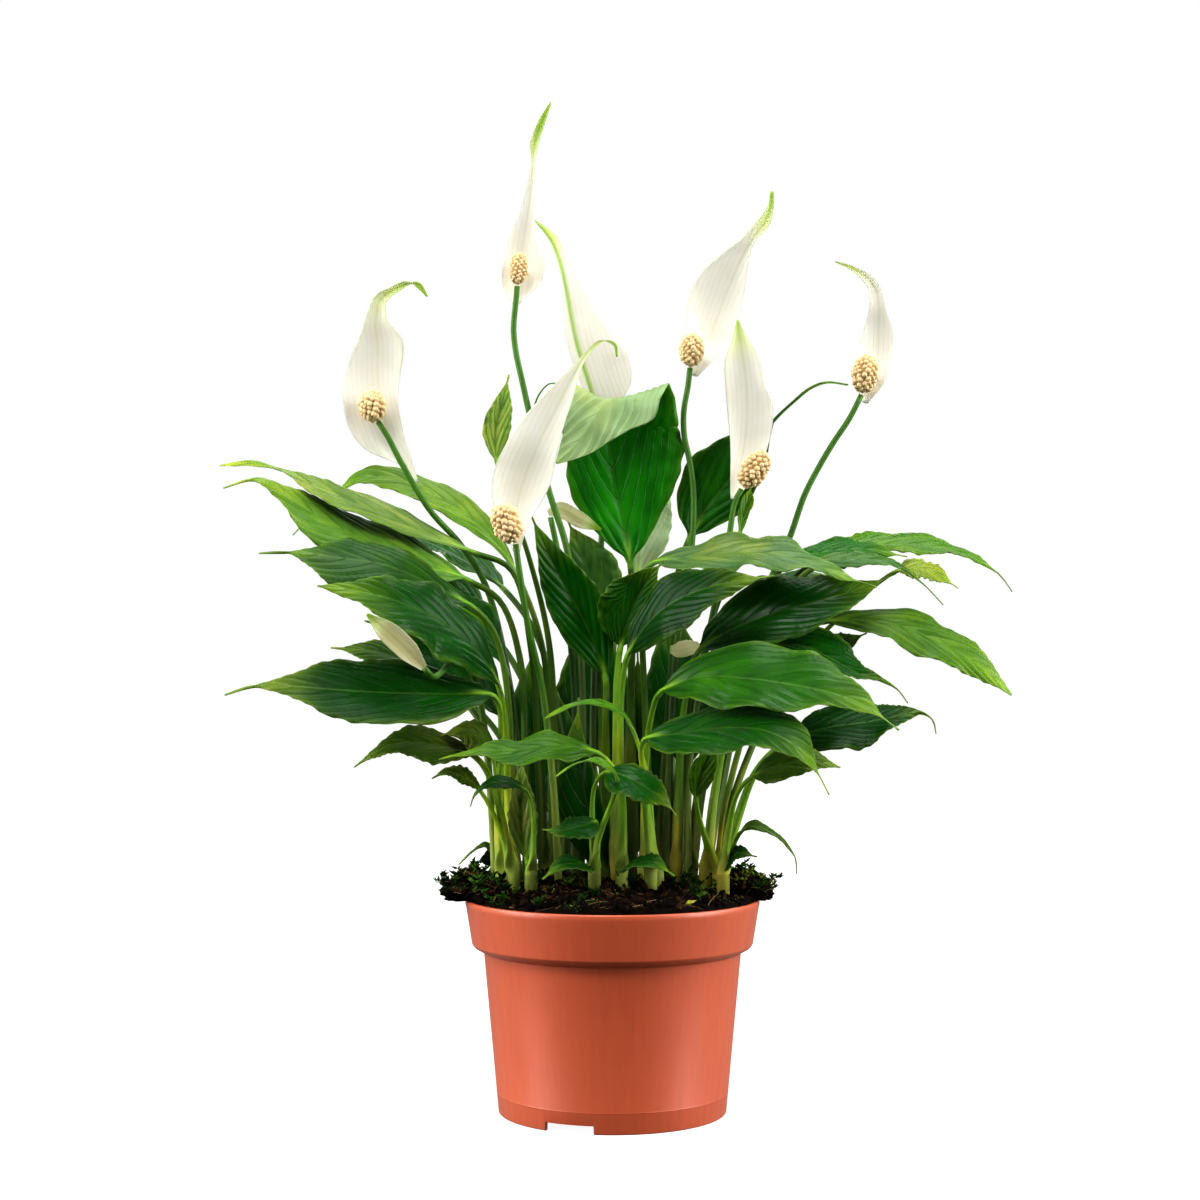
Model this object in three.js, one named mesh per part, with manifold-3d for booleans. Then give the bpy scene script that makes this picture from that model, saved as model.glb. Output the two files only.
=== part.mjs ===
// Potted peace lily: a plastic nursery pot, its soil, leaves on long stalks and white blooms.
// Millimetres, +Z up, the front faces -Y, the origin is the centre of the pot's foot on the ground.
import * as THREE from "three";
import { mergeVertices } from "three/addons/utils/BufferGeometryUtils.js";
import Module from "manifold-3d";

const wasm = await Module();
wasm.setup();

// ---- driving dimensions ----
const POT = {
  height: 93.5,
  rim: 65, // outer radius at the lip
  lip: 0.4, // bevel of the lip, inside and out
  bandFoot: 62, // outer radius at the foot of the rim band
  bandHeight: 19.5,
  neck: 56.8, // outer radius right under the band
  shoulder: 3.5, // height over which the wall widens from the neck to the band
  foot: 50.2,
  ring: 1.8, // width of the flat foot ring
  wall: 1.5,
  baseLift: 4.4, // the floor's underside stands this far above the ground
  floor: 1.8,
  notch: 22, // width of a drain notch in the foot ring
  notchRoof: 0.7, // what a notch leaves below the floor's underside
  notches: 3,
  firstNotch: -112, // degrees round from +X
  drainHole: 4, // radius
  drainRing: 30, // radius of the circle of drain holes
  sides: 28,
};
const CLEAR = 0.3; // gap between pieces that touch
const FACET = 0.2; // extra gap where both pieces are faceted rounds
const SOIL = { crown: 102, edge: 95, rough: 1.3, rings: 3, sides: 18 };
const LUMP = { least: 0.74, spread: 0.5 }; // a lump's corners stand at random shares of its radii
const FOOT = { buried: 88, collar: 104 }; // a stalk or stem stands upright between these heights
const HOLE = { below: 1.5, above: 6 }; // how far a foot's hole runs past it
const STALK = { foot: 2.8, top: 1.4, step: 38 }; // radii, and the length between two sections
const STEM = { foot: 1.7, top: 1.25, step: 32 };
const BLADE = {
  thick: 0.72,
  ridge: 0.9, // how far the midrib stands out below
  cup: -0.14, // how far each half arches up, as a share of its reach
  peak: 0.42, // where the blade is widest, as a share of the rib
  full: 1.12,
  swell: 0.85, // how fast the blade widens from its base
  point: 1.2, // how fast it narrows to its tip
  tail: 0.06,
  tip: 0.45, // half the width of the tip
  wave: [0.5, 2],
  segments: 8,
  columns: 5,
};
const SMALL = { segments: 5, columns: 3, girth: 0.72 }; // a small blade is simpler and more slender
const SPATHE = {
  thick: 0.75, ridge: 0.25, cup: 0.28, ripple: 0.05, ripples: 8.5, segments: 9, columns: 5,
};
const SPADIX = { around: 10, rows: 8, knob: 0.07, blunt: 0.75 };

// Points are given as [across, depth, up], read on the upright plane through the pot's axis as the
// eye in front sees them; depth then slides a point along its line of sight.
const EYE = { across: -5.5, up: 202, away: 950 };

function place([across, depth, up]) {
  const spread = 1 + depth / EYE.away;
  return new THREE.Vector3(
    EYE.across + (across - EYE.across) * spread,
    depth,
    EYE.up + (up - EYE.up) * spread,
  );
}

// ---- the leaves: stalk from the soil to the blade, rib from the blade's base to its tip ----
// left and right reach from the rib to the widest margins; wave is [height, waves along a margin];
// tail is the share of the rib that is a thin drip tip.
const TONES = {
  dark: 0x1d4a14,
  mid: 0x35701c,
  light: 0x6f9a35,
  grey: 0x5f8a5a,
  olive: 0x6b7a2c,
};

const SHOOTS = {
  leaf_left_1: [
    {
      tone: "mid", wave: [0.8, 3],
      widths: [[1.4, 1.4], [8, 9], [12, 12], [13.5, 13], [9, 8], [2.2, 2.2], [3, 3], [0.5, 0.5]],
      foot: [-30, 6],
      stalk: [[-32, 8.5, 150], [-36, 8, 205], [-45, 8, 239]],
      rib: [[-62, 6, 246.5], [-82, 4, 254.5], [-100, 2, 262.5], [-116, 0, 269], [-132, -4, 276],
        [-149, -4, 283.5], [-161, 1, 286], [-174.5, 5, 285]],
      left: [0, -13, -6], right: [0, 12, 6.5],
    },
  ],
  leaf_left_2: [
    {
      tone: "mid", tail: 0.08, wave: [1.2, 3],
      foot: [-37, 4],
      stalk: [[-38, 6, 150], [-41, 4, 200], [-50, 2, 225]],
      rib: [[-64, 0, 234], [-90, -6, 245], [-114, -10, 254], [-132, -14, 263], [-146, -18, 273],
        [-158, -20, 279], [-173, -20, 275]],
      left: [-3, -13, -11], right: [2, 13, 8],
    },
  ],
  shoot_left_3: [
    {
      tone: "light", tail: 0.12, wave: [0.8, 3],
      foot: [-25, 2],
      stalk: [[-26, 6, 150], [-31, 12, 205]],
      rib: [[-42, 16, 236], [-52, 18, 251], [-66, 20, 264], [-82, 22, 273], [-99, 22, 279.5], [-113, 20, 279],
        [-123, 18, 271.5], [-132, 16, 264.5], [-142, 14, 254]],
      left: [0, -10, -6], right: [0, 9, 6.5],
    },
    {
      tone: "light", small: true,
      foot: [-25, 2],
      stalk: [[-26, 5, 150], [-28, 5, 205], [-37, -3, 244], [-46, -6, 270]],
      rib: [[-51.5, -6, 287], [-52, -6, 300], [-49, -6, 313], [-46, -6, 325.5]],
      left: [-5, -2, 0], right: [6, -2, 0],
    },
  ],
  leaf_left_4: [
    {
      tone: "mid", tail: 0.12, peak: 0.56, wave: [1.4, 3],
      foot: [-43, -2],
      stalk: [[-44, -3, 140], [-47, -5, 190], [-53, -10, 212]],
      rib: [[-62, -16, 222], [-82, -26, 233], [-102, -33, 241], [-122, -38, 244], [-140, -40, 246.5],
        [-157, -40, 246]],
      left: [0, -14, -16], right: [0, 12, 8.5],
    },
  ],
  leaf_left_5: [
    {
      tone: "dark", tail: 0, peak: 0.4, wave: [2, 4],
      foot: [-44, -11],
      stalk: [[-46, -14, 140], [-47, -18, 166]],
      rib: [[-50, -24, 186], [-60, -33, 203], [-76, -43, 215.5], [-94, -53, 224], [-113, -60, 229],
        [-131, -65, 231.5]],
      left: [0, -14, -13], right: [0, 12, 12],
    },
  ],
  shoot_left_6: [
    {
      tone: "mid", wave: [1.5, 3],
      foot: [-44, 6],
      stalk: [[-44, 8, 140], [-45, 9, 180]],
      rib: [[-47, 9, 194], [-56, 9, 211], [-73, 11, 225], [-90, 13, 235], [-104, 14, 241]],
      left: [0, -11, -11], right: [0, 9, 9],
    },
    {
      tone: "dark", small: true, wave: [1.2, 2],
      foot: [-44, 6],
      stalk: [[-45, 4, 140], [-46, 2, 158]],
      rib: [[-49, 0, 172], [-60, 0, 190], [-77, 1, 203], [-93, 2, 211], [-110, 2, 216]],
      left: [0, -10, -13], right: [0, 11, 12],
    },
    {
      tone: "grey", wave: [1, 2],
      foot: [-44, 6],
      stalk: [[-47, 8, 130], [-54, 12, 162]],
      rib: [[-67, 21, 182], [-84, 24, 194], [-104, 25, 202], [-125, 24, 204]],
      left: [0, -11, -9.5], right: [0, 9, 9],
    },
  ],
  leaf_left_7: [
    {
      tone: "dark", tail: 0.1, peak: 0.48, wave: [1.3, 3],
      foot: [-49, -18],
      stalk: [[-50, -22, 130], [-49, -28, 165]],
      rib: [[-52, -36, 182], [-74, -46, 183.5], [-100, -54, 184], [-126, -60, 185.5],
        [-146, -64, 187], [-159, -66, 187], [-172, -68, 183]],
      left: [0, -15, -11.5], right: [0, 15, 12.5],
    },
  ],
  shoot_left_8: [
    {
      tone: "olive", wave: [1, 2],
      foot: [-44, -24],
      stalk: [[-47, -28, 120], [-53, -30, 144]],
      rib: [[-61, -32, 156], [-78, -38, 161], [-96, -43, 161.5], [-106, -45, 157],
        [-114.5, -46, 151]],
      left: [0, -11, -6], right: [0, 9, 5.5],
    },
    {
      tone: "olive", small: true,
      foot: [-44, -24],
      stalk: [[-48, -28, 122], [-51, -31, 142]],
      rib: [[-53, -33, 156], [-58, -34, 165], [-66, -34, 168], [-76, -33, 165]],
      left: [0, -6, -7], right: [0, 6, 4],
    },
    {
      tone: "olive", small: true,
      foot: [-44, -24],
      stalk: [[-49, -30, 122]],
      rib: [[-58, -32, 140], [-66, -33, 147], [-74, -34, 149], [-80, -35, 146]],
      left: [0, -5, -2.5], right: [0, 5, 3],
    },
  ],
  shoot_left_9: [
    {
      tone: "light", small: true, tail: 0,
      foot: [-36, -28],
      rib: [[-38, -29, 110], [-40, -30, 119], [-41, -31, 130], [-41, -32, 142], [-40, -32, 154]],
      left: [-4.5, -3, 0], right: [7, -3, 0],
    },
    {
      tone: "dark", small: true,
      foot: [-36, -28],
      stalk: [[-35, -33, 112], [-35, -37, 130]],
      rib: [[-38, -39, 140.5], [-46, -41, 144.5], [-55, -42, 143.5], [-61, -42, 139],
        [-63, -42, 133.5]],
      left: [0, -4, -2], right: [0, 4, 2],
    },
  ],
  shoot_left_10: [
    {
      tone: "dark", small: true,
      foot: [-53, 1],
      rib: [[-53, 0, 107], [-53, -1, 111], [-54, -2, 117]],
      left: [-5, -2, 0], right: [5.5, -2, 0],
    },
    {
      tone: "olive", small: true,
      rib: [[-53, 1, 104], [-52, -2, 112], [-56, -4, 116.5], [-62, -5, 114], [-68, -6, 108]],
      left: [0, -1.8, -1], right: [0, 1.8, 1],
    },
  ],
  shoot_front_1: [
    {
      tone: "light", wave: [1.4, 3],
      foot: [4, -24],
      stalk: [[5, -28, 120], [3, -36, 146]],
      rib: [[-6, -42, 157], [-24, -52, 161], [-44, -58, 158.5], [-62, -61, 158], [-77, -62, 154.5]],
      left: [0, -9, -5.5], right: [0, 9, 4],
    },
    {
      tone: "dark", small: true,
      rib: [[4, -25, 105], [9, -36, 108], [18, -43, 109], [27.5, -47, 103]],
      left: [4, 5, 3], right: [-4, -5, -2],
    },
  ],
  shoot_front_2: [
    {
      tone: "dark", small: true, wave: [0.8, 2],
      foot: [-8, -28],
      stalk: [[-9, -33, 120], [-8, -40, 143]],
      rib: [[-3, -46, 149], [6, -53, 147], [15, -57, 142], [23, -59, 136.5], [28.5, -60, 129.5]],
      left: [2, 8, 5], right: [-2, -9, -6.5],
    },
    {
      tone: "dark", small: true,
      foot: [-8, -28],
      stalk: [[-7, -31, 110], [-6, -36, 122]],
      rib: [[-7, -40, 127], [-14, -46, 125], [-23, -48, 123], [-31, -49, 123.5]],
      left: [0, -7, -4], right: [0, 7, 3.5],
    },
    {
      tone: "dark", small: true,
      rib: [[-8, -29, 105], [-14, -38, 108], [-23, -44, 107.5], [-31, -47, 101.5]],
      left: [4, -5, -2], right: [-4, 5, 3],
    },
    {
      tone: "light", small: true, tail: 0.3,
      foot: [-8, -28],
      stalk: [[-7, -33, 116], [0, -45, 136]],
      rib: [[2.5, -56, 145], [-1, -63, 151], [-8, -67, 154], [-17, -69, 152.5], [-25, -70, 147]],
      left: [0, -1.9, -1.3], right: [0, 1.9, 1.3],
    },
  ],
  leaf_front_3: [
    {
      tone: "light", small: true,
      widths: [[1.8, 1.8], [2.3, 2.3], [2, 2], [1.7, 1.7], [1.4, 1.4], [0.5, 0.5]],
      foot: [20, -18],
      stalk: [[18, -20, 120], [16, -22, 146], [12.5, -24, 158]],
      rib: [[9.5, -26, 167], [4, -28, 175.5], [-6, -30, 179.5], [-17, -32, 179], [-25, -33, 175.5],
        [-30, -34, 172.5]],
      left: [0, -2.6, -2], right: [0, 2.6, 2],
    },
  ],
  leaf_centre_1: [
    {
      // its last third is folded forward and hangs in front of the blade
      tone: "dark", segments: 14, wave: [0.8, 3], turnFrom: 0.62,
      widths: [[1.5, 1.5], [14, 17], [21, 31], [21, 32], [18, 28], [13, 15], [8, 7], [0.5, 0.5]],
      foot: [8, 8],
      stalk: [[8, 12, 150], [8.5, 16, 205], [8.5, 18, 232]],
      rib: [[8, 18, 241], [5, 19, 259], [1, 18, 278], [-2, 15, 302], [-1, 9, 314.5],
        [-8, 3, 306], [-16, 1, 294.5], [-25, 0, 286]],
      left: [-1, -0.2, -0.1], right: [1, -0.1, 0.2],
      tipLeft: [-0.6, 0.1, 0.8], tipRight: [0.8, 0, -0.6],
    },
  ],
  shoot_centre_2: [
    {
      tone: "mid", wave: [1, 3],
      foot: [2, -8],
      stalk: [[2, -8, 140], [2, -7, 190]],
      rib: [[3.5, -8, 204], [6, -10, 214], [11, -12, 226], [17, -15, 236], [23, -17, 242.5]],
      left: [-12, -4, 6], right: [9, -4, -4],
    },
    {
      tone: "dark", wave: [1.2, 3],
      foot: [2, -8],
      stalk: [[3, -9, 140], [4, -13, 185]],
      rib: [[6.5, -20, 200], [13, -26, 211.5], [25, -34, 223], [42, -42, 230.5], [58, -48, 234],
        [72, -52, 236]],
      left: [-3, 8, 9.5], right: [4, -10, -10],
    },
  ],
  shoot_centre_3: [
    {
      tone: "dark", wave: [1, 3],
      foot: [-3, 2],
      stalk: [[-3, 1, 140], [-3, -3, 175]],
      rib: [[-3, -2, 190], [-9, -4, 208], [-18, -7, 226], [-29, -11, 247], [-37, -14, 265]],
      left: [-9, -3, -6], right: [9, -3, 6],
    },
    {
      tone: "grey", small: true, wave: [0.8, 2],
      foot: [-3, 2],
      stalk: [[-4, 6, 140], [-6, 13, 195]],
      rib: [[-7, 16, 216], [-10, 18, 234], [-15, 19, 249], [-20, 20, 261]],
      left: [-8, -2, -2], right: [13, -2, 2],
    },
    {
      tone: "dark", small: true,
      rib: [[-3, 1, 104], [-7, -6, 120], [-12, -10, 138], [-15, -11, 158], [-15, -10, 182]],
      left: [-12, -2, 0], right: [6.5, -2, 0],
    },
  ],
  leaf_right_1: [
    {
      tone: "mid", tail: 0.36, wave: [0.8, 3],
      foot: [23, 15],
      stalk: [[24, 19, 150], [27, 22, 205], [29, 23, 236]],
      rib: [[34, 24, 252], [41, 24, 265], [51, 23, 277.5], [62, 21, 292], [72, 19, 305],
        [80, 17, 313], [88, 16, 319.5], [95, 15, 322], [105, 15, 321]],
      left: [-16, -3, 7], right: [9, -3, -8],
    },
    {
      // a young leaf that is still rolled
      tone: "light", small: true, tail: 0, peak: 0.7,
      foot: [23, 15],
      stalk: [[30, 14, 150], [44, 11, 215], [53, 11, 240]],
      rib: [[56.5, 12.5, 254], [58, 15, 262], [60, 17.5, 269], [61.5, 19, 275]],
      left: [-2.6, -1, 0], right: [2.6, -1, 0],
    },
  ],
  leaf_right_2: [
    {
      tone: "grey", wave: [1.8, 4],
      foot: [15, 0],
      stalk: [[15, 1, 150], [13, 0, 205], [12, -2, 231]],
      rib: [[17, -7, 241], [38, -15, 244.5], [62, -22, 246.5], [84, -28, 243], [102, -32, 236],
        [117.5, -34, 231]],
      left: [0, 13, 7.5], right: [0, -13, -7],
    },
  ],
  leaf_right_3: [
    {
      tone: "dark", wave: [1.2, 3],
      foot: [28, -3],
      stalk: [[29, -5, 140], [32, -10, 180]],
      rib: [[38, -14, 202], [53, -19, 212], [72, -22, 219.5], [92, -22, 225], [110, -19, 230],
        [126, -16, 237]],
      left: [-4, 10, 13], right: [2, -10, -11],
    },
  ],
  leaf_right_4: [
    {
      tone: "light", wave: [1.3, 3],
      widths: [[1.4, 1.4], [7, 7], [12, 11.5], [14, 13.5], [11, 10.5], [5, 5], [0.5, 0.5]],
      foot: [35, 3],
      stalk: [[39, 1, 140], [50, -5, 182], [62, -9, 202], [76, -11, 211]],
      rib: [[93, -11, 215.5], [108, -12, 216.5], [125, -14, 214.5], [141, -17, 208.5],
        [158, -20, 199.5], [170, -22, 190], [177, -23, 183]],
      left: [4, 13, 9.5], right: [-6, -12, -10],
    },
  ],
  shoot_right_5: [
    {
      tone: "olive", tail: 0.14, wave: [1, 3],
      foot: [41, 12],
      stalk: [[47, 16, 140], [60, 21, 195], [80, 25, 232]],
      rib: [[100, 26, 245], [118, 24, 249.5], [135, 20, 250], [150, 15, 247.5], [164, 9, 242],
        [172, 5, 236.5], [177.5, 2, 229]],
      left: [0, 12, 4.5], right: [0, -10, -4],
    },
    {
      tone: "light", small: true, wave: [0.6, 2],
      foot: [41, 12],
      stalk: [[48, 19, 140], [62, 34, 200], [80, 44, 232]],
      rib: [[94, 48, 243], [107, 50, 250], [118, 50, 253], [129, 48, 255]],
      left: [0, 8, 4], right: [0, -6, -3],
    },
  ],
  shoot_right_6: [
    {
      tone: "mid", wave: [1, 3],
      foot: [34, 12],
      stalk: [[38, 13, 140], [49, 13, 190], [66, 9, 228]],
      rib: [[79, 4, 242], [97, 2, 247], [114, 0, 247.5], [131, -2, 244.5]],
      left: [0, 8, 5], right: [0, -9, -7],
    },
    {
      tone: "grey", small: true, tail: 0.3,
      foot: [34, 12],
      stalk: [[39, 12, 140], [56, 4, 195], [76, -5, 230]],
      rib: [[88, -10, 241], [103, -13, 243.5], [118, -15, 243], [128, -16, 240], [138, -18, 232.5],
        [147, -19, 223]],
      left: [0, 7, 3], right: [0, -8, -3.5],
    },
  ],
  shoot_right_7: [
    {
      tone: "light", small: true, wave: [0.8, 2],
      foot: [46, -3],
      stalk: [[54, -3, 140], [78, 5, 192], [102, 6, 219], [115, 2, 230.5]],
      rib: [[126, -2, 238], [134, -4, 240], [144, -6, 237], [153.5, -8, 230.5]],
      left: [0, 7, 4], right: [-1, -8, -5],
    },
    {
      tone: "light", small: true,
      foot: [46, -3],
      stalk: [[51, -4, 140], [66, -2, 182]],
      rib: [[87, 0, 198], [96, 0, 204], [105, -1, 207.5], [113, -2, 210.5]],
      left: [-1, 6, 4], right: [0, -6, -6],
    },
  ],
  leaf_right_8: [
    {
      tone: "mid", segments: 13, wave: [1.8, 4],
      foot: [14, -8],
      stalk: [[14, -10, 130], [14.5, -15, 155], [17.5, -26, 176]],
      rib: [[21, -35, 184], [38, -49, 191], [58, -63, 190.5], [80, -77, 187.5], [100, -91, 183],
        [115, -102, 176.5], [127, -111, 167.5]],
      left: [0, 15, 12], right: [0, -14, -9.5],
    },
  ],
  leaf_right_9: [
    {
      tone: "dark", wave: [1.4, 3],
      foot: [17, -24],
      stalk: [[16, -29, 120], [13.5, -37, 148]],
      rib: [[13.5, -45, 162.5], [30, -59, 166], [50, -74, 168.5], [68, -87, 167], [82, -100, 159.5],
        [90, -107, 150], [96, -111, 139]],
      left: [2, 14, 9], right: [-2, -13, -8],
    },
  ],
  shoot_right_10: [
    {
      tone: "dark", tail: 0.16, wave: [1.6, 3],
      foot: [47, -12],
      stalk: [[54, -20, 125], [64, -28, 150]],
      rib: [[78, -36, 163], [95, -43, 168.5], [113, -47, 171], [128, -50, 174], [137, -51, 175.5],
        [142, -52, 172], [143.5, -52, 166]],
      left: [0, 12, 9], right: [0, -10, -9],
    },
    {
      tone: "light", small: true,
      foot: [47, -12],
      stalk: [[41, -21, 120]],
      rib: [[37, -25, 137], [39, -28, 147], [43, -31, 158], [45, -31, 169]],
      left: [-5, -2, 0], right: [5, -2, 0],
    },
  ],
  leaf_right_11: [
    {
      tone: "dark", tail: 0.2, wave: [1, 3],
      foot: [41, -8],
      stalk: [[45, -12, 140], [55, -18, 183]],
      rib: [[68, -22, 203], [84, -27, 205], [99, -31, 198], [110, -33, 192], [119, -34, 190],
        [126, -35, 186], [131, -35, 179.5]],
      left: [2, 10, 9], right: [-2, -9, -5],
    },
  ],
  shoot_right_12: [
    {
      tone: "olive", small: true, tail: 0,
      foot: [49, -24],
      stalk: [[51, -31, 120], [55, -42, 139]],
      rib: [[62, -51, 147], [74, -60, 152], [88, -66, 154], [101, -69, 151]],
      left: [0, 7, 5.5], right: [0, -7, -5.5],
    },
    {
      tone: "olive", small: true, tail: 0.3,
      foot: [49, -24],
      stalk: [[52, -24, 112]],
      rib: [[56, -28, 121.5], [62, -31, 125.5], [70, -34, 122.5], [77, -36, 117], [81, -37, 111],
        [81.5, -37, 104]],
      left: [0, 3, 1.5], right: [0, -3, -1.5],
    },
    {
      tone: "dark", small: true,
      rib: [[49, -25, 105], [55, -30, 113], [64, -34, 111.5]],
      left: [0, 4, 2.5], right: [0, -4, -2.5],
    },
  ],
  shoot_back_1: [
    {
      tone: "dark", wave: [1.4, 3],
      foot: [-19, 24],
      stalk: [[-25, 34, 150], [-42, 54, 194]],
      rib: [[-56, 66, 213], [-73, 82, 226], [-90, 96, 231.5], [-104, 106, 230], [-113, 113, 226]],
      left: [-4, -8, -8], right: [4, 8, 10],
    },
    {
      tone: "dark", wave: [1.4, 3],
      foot: [-19, 24],
      stalk: [[-32, 44, 130], [-48, 64, 162]],
      rib: [[-62, 74, 178], [-83, 88, 185], [-104, 98, 185], [-121, 106, 182]],
      left: [-5, -8, -9], right: [5, 8, 11],
    },
    {
      tone: "mid", wave: [1.2, 3],
      foot: [-19, 24],
      stalk: [[-21, 27, 150], [-32, 34, 206]],
      rib: [[-48, 44, 230], [-66, 58, 243], [-86, 72, 252], [-103, 82, 253]],
      left: [-7, -10, 0], right: [7, 10, 2],
    },
    {
      tone: "dark", small: true, wave: [1, 2],
      foot: [-19, 24],
      stalk: [[-22, 28, 122]],
      rib: [[-27, 31, 130], [-31, 36, 154], [-34, 42, 180], [-35, 47, 208]],
      left: [-15, -3, 0], right: [15, -3, 0],
    },
    {
      tone: "dark", small: true,
      rib: [[-19, 25, 104], [-24, 34, 116], [-31, 42, 130], [-36, 48, 143]],
      left: [-13, -4, 0], right: [13, -4, 0],
    },
  ],
  shoot_back_2: [
    {
      tone: "mid", wave: [1.4, 3],
      foot: [2, 30],
      stalk: [[1, 44, 150], [0, 62, 190]],
      rib: [[1, 70, 208], [5, 84, 224], [10, 98, 231], [15, 109, 231], [20, 117, 226]],
      left: [-14, 4, 0], right: [14, -4, 2],
    },
    {
      tone: "dark", wave: [1.2, 3],
      foot: [2, 30],
      stalk: [[6, 38, 150], [9, 48, 205]],
      rib: [[11, 56, 235], [14, 66, 262], [17, 76, 282], [19, 84, 296]],
      left: [12, 3, -3], right: [-11, 3, 0],
    },
    {
      tone: "dark", small: true, wave: [1, 2],
      foot: [2, 30],
      stalk: [[-2, 34, 130]],
      rib: [[-5, 38, 150], [-8, 44, 175], [-8, 50, 200], [-5, 56, 224]],
      left: [-16, -3, 0], right: [16, -3, 0],
    },
    {
      tone: "dark", small: true, wave: [1, 2],
      foot: [2, 30],
      stalk: [[-6, 42, 116]],
      rib: [[-12, 54, 134], [-22, 74, 154], [-32, 92, 166], [-42, 108, 168]],
      left: [-9, -9, -2], right: [9, 9, 6],
    },
    {
      tone: "dark", small: true, wave: [1, 2],
      foot: [2, 30],
      rib: [[6, 33, 108], [10, 38, 126], [12, 43, 150], [12, 47, 178], [11, 51, 206]],
      left: [-14, -2, 0], right: [11, -2, 0],
    },
  ],
  shoot_back_3: [
    {
      tone: "dark", wave: [1.4, 3],
      foot: [27, 27],
      stalk: [[32, 38, 150], [44, 54, 195]],
      rib: [[58, 66, 215], [73, 82, 230], [87, 95, 236], [103, 108, 235]],
      left: [-10, 9, 3], right: [10, -9, 0],
    },
    {
      tone: "mid", wave: [1.4, 3],
      foot: [27, 27],
      stalk: [[26, 50, 140], [28, 72, 172]],
      rib: [[36, 82, 186], [51, 94, 193], [68, 105, 193.5], [84, 114, 188]],
      left: [-10, 9, 3], right: [10, -9, 0],
    },
    {
      tone: "dark", small: true, wave: [1, 2],
      foot: [27, 27],
      stalk: [[32, 32, 130]],
      rib: [[33, 38, 150], [30, 44, 176], [28, 49, 202], [27, 54, 228]],
      left: [-14, -3, 0], right: [14, -3, 0],
    },
    {
      tone: "dark", small: true, wave: [1, 2],
      foot: [27, 27],
      stalk: [[24, 42, 116]],
      rib: [[24, 54, 134], [30, 76, 148], [38, 96, 152], [48, 114, 148]],
      left: [-11, 6, 3], right: [11, -6, 0],
    },
    {
      tone: "dark", small: true,
      rib: [[27, 28, 104], [25, 36, 116], [22, 44, 130], [21, 50, 144]],
      left: [-7, -3, 0], right: [13, -3, 0],
    },
  ],
};

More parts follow.
